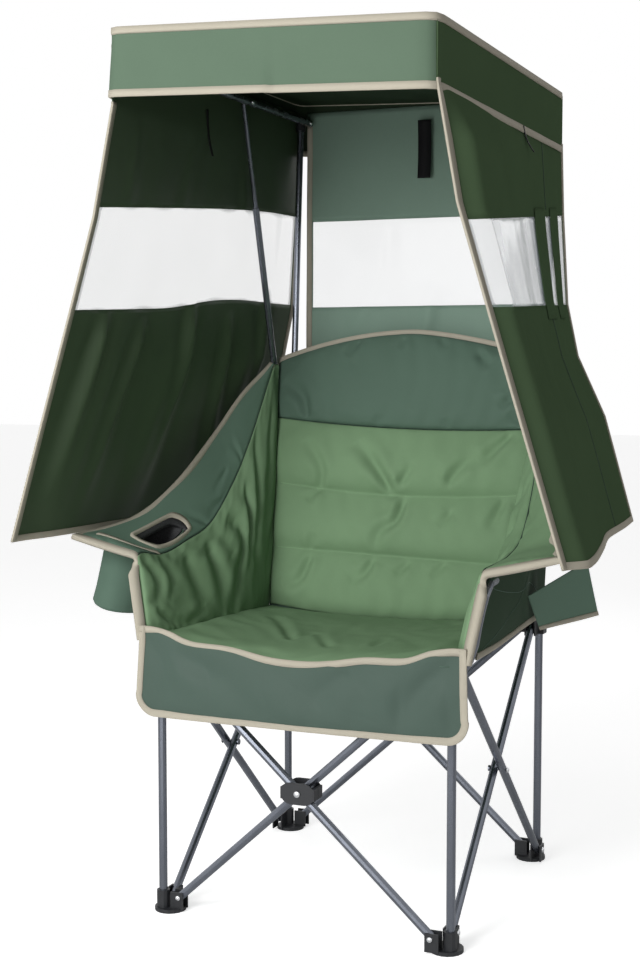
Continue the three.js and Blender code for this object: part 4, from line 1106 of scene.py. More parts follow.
def pad_strip(side):
    """The inner side pad, from beside the seat up to the seam, and on behind to the edge of the back."""
    ruled = strip(hem_line(side), seam_line(side), -0.006, -0.003)

    def at(u, v):
        along = u * (1 + REAR_SHARE)
        points = ruled(np.minimum(along, 1), v)
        end = rows(
            side * HALF_X * np.interp(v, REAR_SHARES[0], REAR_SHARES[1]),
            HALF_Y * np.interp(v, REAR_SHARES[0], REAR_SHARES[2]),
            points[..., 2],
        )
        behind = np.clip((along - 1) / REAR_SHARE, 0, 1)[..., None]
        lap = np.exp(-u / 0.02)[..., None] * np.array([side * 0.008, -0.004, 0]) * (1 - v)[..., None]
        return mix(points, end, behind) + lap

    return at


SIDE_MARKS = (
    (((0.03, 0.95), (0.12, 0.6), (0.05, 0.35)), 0.0095, 0.0120),
    (((0.17, 0.95), (0.21, 0.65), (0.19, 0.4)), 0.0070, 0.0100),
    (((0.3, 0.85), (0.35, 0.52), (0.4, 0.2)), 0.0100, 0.0120),
    (((0.43, 0.8), (0.5, 0.42), (0.55, 0.03)), 0.0110, 0.0120),
    (((0.58, 0.8), (0.67, 0.53), (0.63, 0.28), (0.6, 0.02)), 0.0130, 0.0125),
    (((0.72, 0.8), (0.74, 0.5), (0.68, 0.2)), 0.0100, 0.0110),
    (((0.83, 0.95), (0.82, 0.6), (0.78, 0.3)), 0.0080, 0.0100),
    (((0.98, 0.35), (0.9, 0.15)), 0.0070, 0.0095),
    (((0.94, 0.85), (0.91, 0.5)), 0.0075, 0.0095),
    (((0.08, 0.3), (0.3, 0.08), (0.42, 0.17)), 0.0075, 0.0100),
)


WING_LENGTH = 0.6
WING_WIDTH = 0.11
WING_MARKS = (
    (((0.6, 0.02), (0.53, 0.15)), 0.0030, 0.0050),
    (((0.5, 0.02), (0.45, 0.43)), 0.0035, 0.0055),
    (((0.65, 0.28), (0.58, 0.3)), 0.0025, 0.0050),
    (((0.76, 0.05), (0.72, 0.55)), 0.0025, 0.0050),
    (((0.03, 0.5), (0.1, 0.6)), 0.0020, 0.0050),
)


def side_crown(side):
    """Thickness of a side pad, drawn in at every edge."""

    def thick(u, v):
        swell = (hump(u) * hump(v)) ** 0.36
        edge = np.minimum(np.minimum(u, 1 - u) * SIDE_LENGTH, np.minimum(v, 1 - v) * 0.3)
        gathers = 0.0012 * pucker(u * SIDE_LENGTH, edge, 65 + side, 0.036, 0.022) * (1 - np.exp(-edge / 0.004))
        return SIDE_RIM + SIDE_SWELL * swell + gathers

    return thick


def marks_in_metres(table, length, height, shift=0):
    """Fold marks from a table in shares, moved along by a share."""
    return [([((u + shift) * length, v * height) for u, v in line], *sizes) for line, *sizes in table]


def side_folds(side):
    """The upright folds of a side pad. Those of the right one lie a little further back."""
    shift = 0 if side == LEFT else SIDE_SHIFT
    marks = marks_in_metres(SIDE_MARKS, SIDE_LENGTH, SIDE_HEIGHT, shift)

    def folds(u, v, points):
        x, z = u * SIDE_LENGTH, v * SIDE_HEIGHT
        keep = (hump(u) * hump(v)) ** 0.25
        return keep * (fold_marks(x, z, marks) + 0.0016 * ripple(x, z, 0.13, 61 + side, lean=0.3))

    return folds


def lean_x(z):
    """How far the front post stands outside its foot at a height."""
    return np.interp(z, *POST_LEAN)


def panel_at(side):
    """The outer side panel, from the seat's outer edge up under the wing."""
    wing = wing_strip(side)
    z0 = SLING_Z + PANEL_RISE
    front_out, rear_out = float(lean_x(z0)) + PANEL_OUT[0], PANEL_OUT[1]

    def at(u, v):
        top = wing(mix(0.05, 1, u), PANEL_SHARE + 0 * u)
        top[..., 0] += side * 2 * WING_HALF * u
        top[..., 2] -= 6 * WING_HALF
        y = mix(0.010 - HALF_Y, HALF_Y, u)
        low = rows(side * (HALF_X + mix(front_out, rear_out, ease(u))), y, z0 - 0.01 * u)
        points = low + (top - low) * v[..., None]
        soft = 0.0016 * ripple(u * 0.55, v * 0.3, 0.12, 71 + side, lean=0.6)
        points[..., 0] += side * np.clip((PANEL_BILLOW * hump(u) + soft) * hump(v), 0, None)
        return points

    return at


def cut_out(piece, ring_low, ring_high):
    """Cuts a prism between two rings of points out of a piece."""
    tool = sweep("cup_cutter", [ring_low, ring_high])
    boolean = piece.modifiers.new("opening", "BOOLEAN")
    boolean.operation = "DIFFERENCE"
    boolean.solver = "EXACT"
    boolean.object = tool
    settle(piece, boolean)
    bpy.data.objects.remove(tool, do_unlink=True)


def cup_ring(grow, drop, middle=CUP["v"], half=CUP["half_v"]):
    """The cup opening's outline on the left wing."""
    c, s = np.cos(CUP_TURNS), np.sin(CUP_TURNS)
    round_off = np.maximum(np.abs(c), np.abs(s)) ** 0.5
    points = wing_strip(LEFT)(CUP["u"] + CUP["half_u"] * grow * c / round_off, middle + half * grow * s / round_off)
    points[..., 2] -= drop
    return points


def cup_floor(shrink, z):
    """An oval inside the cup pocket, a little higher on its outer side."""
    out, along = (CUP_HALVES[0] - shrink) * np.sin(CUP_TURNS), (CUP_HALVES[1] - shrink) * np.cos(CUP_TURNS)
    return rows(CUP_MIDDLE[0] - out, CUP_MIDDLE[1] + along, z + CUP_TILT * out)


class CHAIR_OT_arms(bpy.types.Operator):
    """Make the side pads, the arm tops, the side panels, the cup pocket and the side flap."""

    bl_idname = "chair.arms"
    bl_label = "Arms"

    def execute(self, context):
        sizes = context.scene.chair_sizes
        for word, side in SIDES.items():
            body = f"front_{word}_leg"
            pad, _ = pad_piece(
                word + "_side_cushion",
                pad_strip(side),
                (130, 64),
                (SIDE_LENGTH, 0.3),
                side_crown(side),
                side_folds(side),
                side=-side,
                back=0.003,
            )
            dress(pad, "cushion")
            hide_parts(word + "_side_pad")

            wing_at = wing_strip(side)
            top = arm_top(side)
            flat = (WING_LENGTH, WING_WIDTH)
            wing = cloth_piece(word + "_arm_top", wing_at, (140, 40), flat, *wing_faces(side, top))
            dress(wing, "arm" if side == LEFT else "cushion")
            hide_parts(word + "_wing")
            over = WING_HALF + 0.0006
            edge = tape(word + "_arm_binding", wing_at, (0, 1), (1, 1), (0, -1), ARM_BINDING, 120, over)
            front = front_binding(word + "_front_binding", wing_at, pad_strip(side), side)
            line = seam_line(side)(np.linspace(0.01, 1, 120)) + (-side * PIPING_PLACE[0], 0, PIPING_PLACE[1])
            piping = cord_line(word + "_arm_seam", line, sizes.piping)
            dress(piping, "dark_seam")
            panel = cloth_piece(word + "_side_cover", panel_at(side), (90, 40), (0.57, 0.3))
            dress(panel, "side")
            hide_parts(word + "_outer_panel")
            hem = tape(word + "_cover_binding", panel_at(side), (0, 0), (1, 0), (0, 1), sizes.binding, 90)
            trims = [edge, front, piping, hem]
            if side == LEFT:
                cut_out(wing, cup_ring(1, 0.03), cup_ring(1, -0.03))
                trims += [*cup_pieces(), pocket_strip(wing_at, top)]
            else:
                trims += flap_pieces(sizes.binding)
            trims += cross_seams(word, side)
            ride_fold_y(body, pad, wing, panel, *trims)
        return {"FINISHED"}


def wing_faces(side, top):
    """Front and back thickness of an arm top, whose front faces up on the right side only."""
    return (WING_HALF, top) if side == RIGHT else (top, WING_HALF)


def arm_top(side):
    """Thickness of an arm top's upper face, with soft swells and a few pulls round the cup."""
    marks = marks_in_metres(WING_MARKS, WING_LENGTH, WING_WIDTH)

    def top(u, v):
        x, y = u * WING_LENGTH, v * WING_WIDTH
        swell = 0.0045 * hump(v) ** 0.6 * (1 - 0.4 * u)
        soft = 0.0007 * ripple(x, y, 0.09, 81 + side) * hump(v) ** 0.5
        rise = 1 - np.exp(-u / 0.025)
        return WING_HALF + rise * (swell + soft + fold_marks(x, y, marks))

    return top


def front_binding(name, wing_at, pad_at, side):
    """One tape round the front of an arm: in along its top, over the rounded corner and down the side pad. Below the
    corner it passes in front of the post."""
    down = np.linspace(1, 0, 61)
    edges = [at(0 * down, down) for at in (wing_at, pad_at)]
    ways = [unit(at(0 * down + 0.004, down) - edge) for at, edge in zip((wing_at, pad_at), edges)]
    edge, toward = (np.concatenate([high, low[1:]]) for high, low in (edges, ways))
    away = run_along(edge)
    even = np.linspace(0, away[-1], 110)
    lines = [np.stack([np.interp(even, away, line[:, k]) for k in range(3)], axis=-1) for line in (edge, toward)]
    for line in lines:
        for _ in range(9):
            line[1:-1] = (line[:-2] + 2 * line[1:-1] + line[2:]) / 4
    edge, inner = lines[0], lines[0] + unit(lines[1]) * ARM_BINDING
    corner = np.linalg.norm(wing_at(0, 0) - wing_at(0, 1))
    post = ease((even - corner - 0.004) / 0.03)[:, None]
    inner = mix(inner, edge + (side * POST_INNER[0], POST_INNER[1], 0), post)
    edge = edge + np.array([side * POST_OUTER[0], POST_OUTER[1], 0]) * post
    return tape_along(name, edge, unit(inner - edge), inner, BINDING_HALF)


def pocket_strip(at, top):
    """The bound edge of a flat pocket, a flat tape laid across the left arm top."""
    u, v = smooth_line(POCKET_LINE)(np.linspace(0, 1, 41)).T
    middle = at(u, v)
    normal = unit(np.cross(at(u + STEP, v) - middle, at(u, v + STEP) - middle))
    half = unit(np.cross(np.gradient(middle, axis=0), normal)) * POCKET_BINDING / 2
    low = middle + normal * (top(u, v) + 0.0006)[:, None]
    high = low + normal * POCKET_TAPE
    crest = low + normal * POCKET_TAPE * 1.2
    rings = [np.array([a - h, b - h, c, b + h, a + h]) for a, b, c, h in zip(low, high, crest, half)]
    return dress(sweep("left_pocket_binding", rings), "binding")


def cross_seams(word, side):
    """Two crossed rows of stitches on a side panel."""
    share = np.linspace(0, 1, 60)
    stitches = []
    for k, (v0, v1) in enumerate(((0.1, 0.88), (0.88, 0.1))):
        line = panel_at(side)(mix(0.06, 0.94, share), mix(v0, v1, share))
        line[..., 0] += side * (CLOTH / 2 + 0.0002)
        stitches.append(dress(cord_line(f"{word}_cover_seam_{k}", line, 0.0007, 6), "headrest"))
    return stitches


def cup_pieces():
    """The cup pocket, its net lining and the bound rim of the opening."""
    under = 2 * WING_HALF - 0.0008

    def bag(grow, shrink, floor, rise=0):
        z = CUP_FLOOR + floor
        high = cup_ring(grow, under - rise, middle=0.60, half=0.42)
        low = cup_floor(shrink, z + 0.009)
        steps = [mix(low, high, np.array([t**0.9, t**0.9, t])) for t in (0.2, 0.4, 0.6, 0.8)]
        return [cup_floor(shrink + 0.008, z), cup_floor(shrink + 0.0025, z + 0.003), low, *steps, high]

    outer, inner = bag(1.06, 0, 0), bag(1.0, 0.0024, 0.0024)
    rings = outer + inner[::-1]
    bulge = np.sin(np.linspace(0, math.tau * 3, len(outer[0]), endpoint=False)) * 0.0015
    for k in range(3, 7):
        rings[k] = rings[k] + np.outer(bulge, (1, 0, 0))
    pocket = sweep("cup_bag", rings)
    dress(pocket, "headrest")
    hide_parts("cup_pocket")
    net = bag(0.985, 0.0032, 0.0034, 0.002) + bag(0.97, 0.0042, 0.0044, 0.002)[::-1]
    lining = dress(sweep("cup_net", net), "net")
    rim = cup_hoop("cup_rim", ((0.94, -0.0105), (1.07, -0.0105), (1.09, -0.004), (0.93, 0.004)), "binding")
    net_rim = cup_hoop("cup_net_rim", ((0.95, -0.006), (0.86, 0.004), (0.86, 0.009), (0.95, 0.009)), "net")
    return [pocket, lining, rim, net_rim]


def cup_hoop(name, profile, material):
    """A closed hoop round the cup opening. Each corner of its section is a growth and a drop of the opening."""
    outline = [cup_ring(grow, drop) for grow, drop in profile]
    return dress(sweep(name, list(np.stack(outline, axis=1)), closed=True), material)


def flap_pieces(width):
    """The bound flap that stands out from the right side panel."""

    def at(u, v):
        sway = FLAP_SWAY * np.sin(u * 5 + v)
        y = mix(*FLAP_Y, u) + (mix(*FLAP_BACK, u) + sway) * v
        return rows(mix(*FLAP_X, u), y, mix(*FLAP_Z, u) - mix(*FLAP_DROP, u) * v)

    flap = cloth_piece("side_flap_cloth", at, (40, 30), (0.12, 0.12))
    dress(flap, "arm")
    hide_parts("side_flap")
    hem = tape("side_flap_binding", at, (0, 1), (1, 1), (0, -1), width, 40)
    return [flap, hem]


# Roof and curtains: the roof cloth's half width, its reach in front and behind, and heights. The windows' upper and
# lower edges are shares of the drop below the valance.
ROOF_HALF = 0.302
ROOF_FRONT = 0.439
ROOF_BACK = 0.392
ROOF_TOP = 1.594
VALANCE_LOW = 1.482
ROOF_SAG = 0.006
ROOF_SKEW = -0.0125
VALANCE_FLARE = 0.014
CURTAIN_INSET = 0.0041
CURTAIN_TOP = 1.5851
CURTAIN_LOW = 0.706
DROP = VALANCE_LOW - CURTAIN_LOW
HANG = CURTAIN_TOP - VALANCE_LOW
FRONT_FLARE = ((0, 0.25, 0.46, 1), (0, 0.0364, 0.0856, 0.214))
BACK_FLARE = ((0, 0.18, 0.42, 0.56, 0.72, 1), (0, 0.0048, 0.0165, 0.040, 0.098, 0.160))
WINDOW_TOP = (0.25, 0.16)
WINDOW_LOW = (0.458, 0.414)
BACK_WINDOW = (0.175, 0.418)
BACK_MARGIN = 0.025
BACK_CURTAIN_HALF = 0.278
FILM_HALF = 0.0003
EDGE_MARGIN = 0.014
CURTAIN_LENGTH = ROOF_FRONT + ROOF_BACK
# The right curtain's front strip is turned outwards by this much over this share of its length.
FRONT_TURN = (0.034, 0.070)
# Broad swells of the left curtain: where each lies along it and its half width, and how deep they are.
CURTAIN_SWELLS = ((0.15, 0.055), (0.40, 0.045), (0.69, 0.060))
CURTAIN_SWELL = 0.019
# How far the left window's top and bottom are raised, and the right one's top (front and rear) and bottom lowered.
LEFT_WINDOW = (0.018, 0.016)
RIGHT_WINDOW = (0.028, 0.018, 0.006)
# Shares of the roof cloth from its middle out: its edge, and the inner line of its hem.
ROOF_EDGE = 0.72
ROOF_HEM = 0.94
ROOF_CORNER = 40
ROOF_INSET = 0.0007
SEAM_PROFILE = ((0.0016, -0.004), (0.0026, 0.0), (0.0022, 0.009), (-0.0004, 0.009), (-0.0012, 0.0), (-0.0012, -0.001))


def roof_at(u, v):
    """The whole roof cloth: u runs round it, v from the middle out and down the valance."""
    turn = np.mod(u * 4, 4) * math.pi / 2 + math.pi / 4
    half_y = (ROOF_FRONT + ROOF_BACK) / 2
    mid_y = (ROOF_BACK - ROOF_FRONT) / 2
    c, s = np.cos(turn), np.sin(turn)
    scale = (np.abs(c) ** ROOF_CORNER + np.abs(s) ** ROOF_CORNER) ** (-1 / ROOF_CORNER)
    qx, qy = c * scale, s * scale
    r = np.clip(v / ROOF_EDGE, 0, 1)
    down = np.clip((v - ROOF_EDGE) / (1 - ROOF_EDGE), 0, 1)
    x, y = qx * r, qy * r
    sag = ROOF_SAG * np.cos(x * math.pi / 2) * np.cos(y * math.pi / 2)
    soft = 0.0016 * ripple(x * 0.3, y * 0.4, 0.22, 91) * (1 - r**6)
    billow = 0.0013 * ripple(qx * 0.3, qy * 0.4 + down * 0.1, 0.15, 93) * hump(down)
    shrink = 1 - np.abs(billow) / 0.3 + VALANCE_FLARE * down * (x < 0)
    z = ROOF_TOP - ROOF_INSET - sag * (r < 1) - np.abs(soft) - down * (ROOF_TOP - VALANCE_LOW) + ROOF_SKEW * x
    edge = np.where(down > 0, 0, 0.0015 * np.clip((r - 0.985) / 0.015, 0, 1))
    return rows(x * (ROOF_HALF - ROOF_INSET) * shrink, mid_y + y * (half_y - ROOF_INSET) * shrink, z - edge)


CURTAIN_MARKS = (
    (((0.11, 0.37), (0.09, 0.52), (0.06, 0.74)), 0.0080, 0.012),
    (((0.10, 0.02), (0.11, 0.17)), 0.0060, 0.012),
    (((0.24, 0.38), (0.21, 0.55), (0.17, 0.76)), 0.0070, 0.013),
    (((0.40, 0.34), (0.42, 0.52), (0.38, 0.76)), 0.0075, 0.013),
    (((0.56, 0.36), (0.60, 0.55), (0.62, 0.76)), 0.0065, 0.012),
    (((0.70, 0.30), (0.72, 0.50), (0.76, 0.74)), 0.0060, 0.012),
    (((0.33, 0.02), (0.30, 0.17)), 0.0045, 0.010),
    (((0.55, 0.02), (0.57, 0.15)), 0.0045, 0.010),
)


def curtain_xyz(side, u, z):
    """A point of a side curtain at a height."""
    inner = ROOF_HALF - CURTAIN_INSET
    drop = np.clip((VALANCE_LOW - z) / DROP, 0, 1)
    flare = mix(np.interp(drop, *FRONT_FLARE), np.interp(drop, *BACK_FLARE), u)
    calm = 1.0 if side == LEFT else 0.35
    wave = 0.0045 * drop * np.sin(5 * math.pi * u + drop)
    wave = calm * (wave + 0.0028 * drop**0.5 * np.sin(13.4 * math.pi * u + 2 * drop) * (1 - drop))
    y = mix(-ROOF_FRONT + 0.0029 + 0.006 * (1 - np.clip(drop * 4, 0, 1)), ROOF_BACK - 0.0072, u)
    length, height = u * CURTAIN_LENGTH, drop * DROP
    marks = fold_marks(length, height, CURTAIN_MARKS) * FOLD_SCALE[side]
    if side == LEFT:
        for middle, span in CURTAIN_SWELLS:
            at = middle - 0.10 * (drop - 0.45)
            marks = marks - CURTAIN_SWELL * bell(length, at, span) * ease((drop - 0.36) * 3)
    turned = 0
    if side == RIGHT:
        turned = FRONT_TURN[0] * ease(u / FRONT_TURN[1]) * ease((0.62 - u) / 0.5) * np.clip(drop * 9, 0, 1)
    soft = 0.0024 * calm * ripple(length, height, 0.26, 101 + side, lean=0.2) + marks
    fade = np.clip(drop * 3, 0, 1) * np.clip(np.minimum(u, 1 - u) * 9, 0.25, 1) * (1 - 0.75 * ease((drop - 0.8) * 5))
    return rows(side * (inner + flare + wave + soft * fade + turned), y, z)


def curtain_z(u, row, side):
    """Height of a curtain's row: 0 to 1 above the window, 1 to 2 down it, 2 to 3 below it."""
    top = VALANCE_LOW - DROP * mix(*WINDOW_TOP, u)
    low = VALANCE_LOW - DROP * mix(*WINDOW_LOW, u)
    if side == LEFT:
        top = top + LEFT_WINDOW[0] * (1 - u**5)
        low = low + LEFT_WINDOW[1] * bell(u, 0.66, 0.26) * ease((u - 0.30) * 4)
    else:
        top = top - mix(*RIGHT_WINDOW[:2], u)
        low = low - RIGHT_WINDOW[2]
    above = mix(CURTAIN_TOP, top, np.clip(row, 0, 1))
    return above + (low - top) * np.clip(row - 1, 0, 1) + (CURTAIN_LOW - low) * np.clip(row - 2, 0, 1)


def curtain_part(side, rows_span, us=(0, 1)):
    """A stretch of a side curtain between two rows and two shares of its length."""

    def at(u, v):
        length = mix(*us, u)
        return curtain_xyz(side, length, curtain_z(length, mix(*rows_span, v), side))

    return at


BACK_CURTAIN_MARKS = (
    (((-0.10, 1.34), (-0.12, 1.20), (-0.20, 1.05)), 0.0060, 0.010),
    (((0.02, 1.20), (0.00, 1.10), (-0.06, 0.95)), 0.0070, 0.011),
    (((0.16, 1.18), (0.19, 1.05), (0.17, 0.90)), 0.0060, 0.010),
    (((-0.20, 1.47), (-0.17, 1.38)), 0.0050, 0.009),
    (((0.10, 1.48), (0.13, 1.37)), 0.0050, 0.009),
    (((-0.02, 1.48), (-0.04, 1.40)), 0.0045, 0.009),
)


def back_xyz(u, z):
    """A point of the back curtain."""
    drop = np.clip((VALANCE_LOW - z) / DROP, 0, 1)
    wave = 0.007 * drop * np.sin(4 * math.pi * u)
    x = mix(-BACK_CURTAIN_HALF, BACK_CURTAIN_HALF, u)
    soft = 0.0026 * ripple(x, z, 0.17, 121, lean=0.15) + fold_marks(x, z, BACK_CURTAIN_MARKS)
    soft = soft * np.clip(drop * 4, 0, 1)
    return rows(x, ROOF_BACK - CURTAIN_INSET - 0.007 * drop + wave / 2 + soft, z)


def back_part(rows_span, us=(0, 1)):
    """A stretch of the back curtain."""
    stops = [CURTAIN_TOP, *(VALANCE_LOW - DROP * share for share in BACK_WINDOW), CURTAIN_LOW]

    def at(u, v):
        row = mix(*rows_span, v)
        return back_xyz(mix(*us, u), np.interp(row, (0, 1, 2, 3), stops))

    return at


def window_strips():
    """Two strips of curtain cloth sewn down over the right window near its rear corner, and the seams above and
    below it."""
    items = []
    for name, us in (("right_window_strip", (0.675, 0.77)), ("right_window_edge_strip", (0.83, 0.912))):
        base = curtain_part(RIGHT, (0.94, 2.06), us)

        def at(u, v, base=base):
            return base(u, v) + (0.0022, 0, 0)

        items.append(dress(cloth_piece(name, at, (8, 30), (0.066, 0.2)), "curtain"))
    share = np.linspace(0, 1, 60)
    for name, u, row in (("right_curtain_seam_high", 0.79, (0.1, 0.95)), ("right_curtain_seam_low", 0.72, (2.06, 3))):
        line = curtain_part(RIGHT, row, (u, u + 0.001))(0.5 + 0 * share, share) + (0.0008, 0, 0)
        items.append(dress(cord_line(name, line, 0.001, 6), "dark_seam"))
    return items


def ride_curtain(word, *items):
    """Bakes the placing of a side curtain's pieces into their meshes."""
    for item in items:
        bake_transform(item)


def curtain_cloth(name, part, margin, counts, sizes):
    """A curtain of four stretches round its window. counts holds the faces across it, and those down it above, below
    and beside the window. sizes holds the same in metres."""
    across, above, below, beside = counts
    length, high, low, middle = sizes
    stretches = (
        ((0, 1), (0, 1), (across, above), (length, high)),
        ((2, 3), (0, 1), (across, below), (length, low)),
        ((1, 2), (0, margin), (3, beside), (EDGE_MARGIN, middle)),
        ((1, 2), (1 - margin, 1), (3, beside), (EDGE_MARGIN, middle)),
    )
    items = [cloth_piece("part", part(row, us), count, flat) for row, us, count, flat in stretches]
    pick(items[0])
    for item in items[1:]:
        item.select_set(True)
    bpy.ops.object.join()
    items[0].name = name
    return items[0]


def curtain_pane(name, part, margin, count, flat):
    """A curtain's clear window."""
    pane = cloth_piece(name, part((1, 2), (margin, 1 - margin)), count, flat, FILM_HALF, FILM_HALF)
    return dress(pane, "film")


def curtain_bindings(name, whole, starts, width, count):
    """Tapes down both upright edges of a curtain, from their start shares, and along its hem."""
    (first, v0), (second, v1) = starts.items()
    spans = {
        first: ((0, v0), (0, 1), (1, 0)),
        second: ((1, v1), (1, 1), (-1, 0)),
        "hem": ((0, 1), (1, 1), (0, -1)),
    }
    return [tape(f"{name}_binding_{word}", whole, *span, width, count) for word, span in spans.items()]


class CHAIR_OT_canopy(bpy.types.Operator):
    """Make the roof, the curtains, their clear windows and their bindings."""

    bl_idname = "chair.canopy"
    bl_label = "Canopy"

    def execute(self, context):
        width = context.scene.chair_sizes.binding
        stops = (np.linspace(0.02, 0.7, 34), np.linspace(0.7, 0.74, 7), np.linspace(0.74, 1, 16))
        vs = np.unique(np.concatenate(stops))
        us = np.linspace(0, 1, 193)
        roof = cloth_piece("roof_cloth", roof_at, None, (2.8, 0.6), stops=(us, vs))
        dress(roof, "roof")
        # Slot 1 is for the roof's underside, painted darker as shade.
        roof.data.materials.append(MATERIALS["lining"])
        roof.data.materials.append(MATERIALS["curtain"])
        quads = (len(us) - 1) * (len(vs) - 1)
        for face in roof.data.polygons[:quads]:
            face.material_index = 1
        # Faces of the roof's outside that turn to the sides take the curtain colour: painted shade on the valance's
        # sides.
        for face in roof.data.polygons[quads:]:
            if abs(face.normal.x) > 0.75:
                face.material_index = 2
        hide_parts("roof_cap")
        hem = tape_loop("roof_hem_binding", roof_at, 1.0, ROOF_HEM, width)
        rim = standing_seam("roof_edge_binding", roof_at, ROOF_EDGE - 0.0005)
        for item in (roof, hem, rim):
            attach(item, "left_bar")
            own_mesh(item)

        margin = EDGE_MARGIN / CURTAIN_LENGTH
        for word, side in SIDES.items():

            def part(rows_span, us=(0, 1), side=side):
                return curtain_part(side, rows_span, us)

            sizes = (CURTAIN_LENGTH, 0.28, 0.45, 0.18)
            curtain = curtain_cloth(word + "_curtain_cloth", part, margin, (110, 26, 50, 20), sizes)
            if side == LEFT:
                tidy_normals(curtain)
            # The left curtain takes its darkened copy of the cloth: painted shade.
            dress(curtain, "inner_curtain" if side == LEFT else "curtain")
            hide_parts(word + "_curtain")
            pane = curtain_pane(word + "_clear_window", part, margin, (60, 16), (0.8, 0.18))
            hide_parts(word + "_window")
            ends = {"front": 0, "rear": 1}
            starts = {k: (HANG - 0.005) / (CURTAIN_TOP - curtain_z(u, 1, side)) / 3 for k, u in ends.items()}
            trims = curtain_bindings(word + "_curtain", part((0, 3)), starts, width, 140)
            if side == RIGHT:
                trims += window_strips()
            ride_curtain(word, curtain, pane, *trims)

        sizes = (0.556, 0.24, 0.45, 0.19)
        curtain = curtain_cloth("back_curtain_cloth", back_part, BACK_MARGIN, (70, 20, 40, 16), sizes)
        dress(curtain, "back")
        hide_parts("back_curtain")
        pane = curtain_pane("back_clear_window", back_part, BACK_MARGIN, (50, 16), (0.53, 0.19))
        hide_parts("back_window")
        starts = {"left": 0.04, "right": 0.04}
        trims = curtain_bindings("back_curtain", back_part((0, 3)), starts, width, 100)
        ride_fold_x("rear_left_leg", curtain, pane, *trims)
        return {"FINISHED"}


def tape_loop(name, at, v_edge, v_inner, width):
    """A tape round the whole roof cloth at one share of its depth."""
    u = np.linspace(0, 1, 192, endpoint=False)
    edge = at(u, np.full_like(u, v_edge))
    toward = unit(at(u, np.full_like(u, v_inner)) - edge)
    normal = unit(np.cross(np.roll(edge, -1, axis=0) - np.roll(edge, 1, axis=0), toward))
    up = normal * (CLOTH / 2 + TAPE)
    rings = [
        np.array([e - w * 0.001, e + n, e + w * width + n, e + w * width - n, e - n])
        for e, w, n in zip(edge, toward, up)
    ]
    return dress(sweep(name, rings, closed=True), "binding")


def standing_seam(name, at, v_edge):
    """The bound seam that stands up round the roof's edge."""
    u = np.linspace(0, 1, 192, endpoint=False)
    edge = at(u, np.full_like(u, v_edge))
    out = unit(np.cross(np.roll(edge, -1, axis=0) - np.roll(edge, 1, axis=0), (0, 0, 1)))
    out *= np.sign(((edge - edge.mean(axis=0)) * out).sum(axis=-1))[:, None]
    rings = [np.array([e + o * a + (0, 0, b) for a, b in SEAM_PROFILE]) for e, o in zip(edge, out)]
    return dress(sweep(name, rings, closed=True), "binding")


# The feet's rivets: how far in from a post and how high, and how far an ear's outer face lies from the post's middle
# and is moved along by the crossed tubes' offset.
PIN_INSET = 0.032
PIN_Z = 0.027
EAR_FACE = 0.0114
EAR_OFFSET = 0.0085


def rivet_head(name, centre, axis, body, radius=0.0055, height=0.0035):
    """A domed rivet head against a face."""
    bpy.ops.object.select_all(action="DESELECT")
    bpy.ops.mesh.primitive_uv_sphere_add(segments=20, ring_count=10, radius=radius, location=(0, 0, 0))
    piece = bpy.context.object
    piece.name = name
    bpy.ops.object.mode_set(mode="EDIT")
    bpy.ops.mesh.select_all(action="SELECT")
    bpy.ops.mesh.bisect(plane_co=(0, 0, 0), plane_no=(0, 0, 1), clear_inner=True, use_fill=True)
    bpy.ops.mesh.select_all(action="SELECT")
    bpy.ops.transform.resize(value=(1, 1, height / radius))
    bpy.ops.object.mode_set(mode="OBJECT")
    turn = Vector((0, 0, 1)).rotation_difference(Vector(axis))
    piece.data.transform(turn.to_matrix().to_4x4())
    piece.data.transform(Matrix.Translation(Vector(centre)))
    bpy.ops.object.shade_smooth_by_angle(angle=0.7)
    dress(piece, "rivet")
    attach(piece, body)
    return piece


class CHAIR_OT_fasteners(bpy.types.Operator):
    """Make the rivet heads on the feet, brackets, hubs and roof bars."""

    bl_idname = "chair.fasteners"
    bl_label = "Fasteners"

    def execute(self, context):
        pin_x, pin_y = HALF_X - PIN_INSET, HALF_Y - PIN_INSET
        corners = (("front_left", -1, -1), ("front_right", 1, -1), ("rear_left", -1, 1), ("rear_right", 1, 1))
        for word, sx, sy in corners:
            body = word + "_leg"
            ear_y = MIDDLE_Y + sy * (HALF_Y - sx * sy * EAR_OFFSET + EAR_FACE)
            ear_x = sx * (HALF_X + sy * EAR_OFFSET + EAR_FACE)
            rivet_head(word + "_foot_rivet", (sx * pin_x, ear_y, PIN_Z), (0, sy, 0), body)
            rivet_head(word + "_foot_side_rivet", (ear_x, MIDDLE_Y + sy * pin_y, PIN_Z), (sx, 0, 0), body)
        for word, sy in (("front", -1), ("rear", 1)):
            node = word + "_hub_outer_half"
            low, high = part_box(node)
            y = low[1] if sy < 0 else high[1]
            z = (low[2] + high[2]) / 2
            rivet_head(word + "_hub_rivet", (0, y, z), (0, sy, 0), node + "_body", 0.0065)
        for word, side in SIDES.items():
            low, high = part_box(word + "_tube_rising_front")
            x = low[0] if side < 0 else high[0]
            z = (low[2] + high[2]) / 2
            y = (low[1] + high[1]) / 2
            rivet_head(word + "_cross_rivet", (x, y, z), (side, 0, 0), word + "_tube_rising_front_body")
            low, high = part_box(word + "_roof_bar")
            x = high[0] if side < 0 else low[0]
            cap_y, strut_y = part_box(word + "_pole_cap")[0][1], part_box(word + "_upper_strut")[0][1]
            z = (low[2] + high[2]) / 2
            for k, y in enumerate((cap_y + 0.011, strut_y + 0.01)):
                rivet_head(f"{word}_bar_rivet_{k}", (x, y, z), (-side, 0, 0), word + "_bar", 0.005)
        return {"FINISHED"}


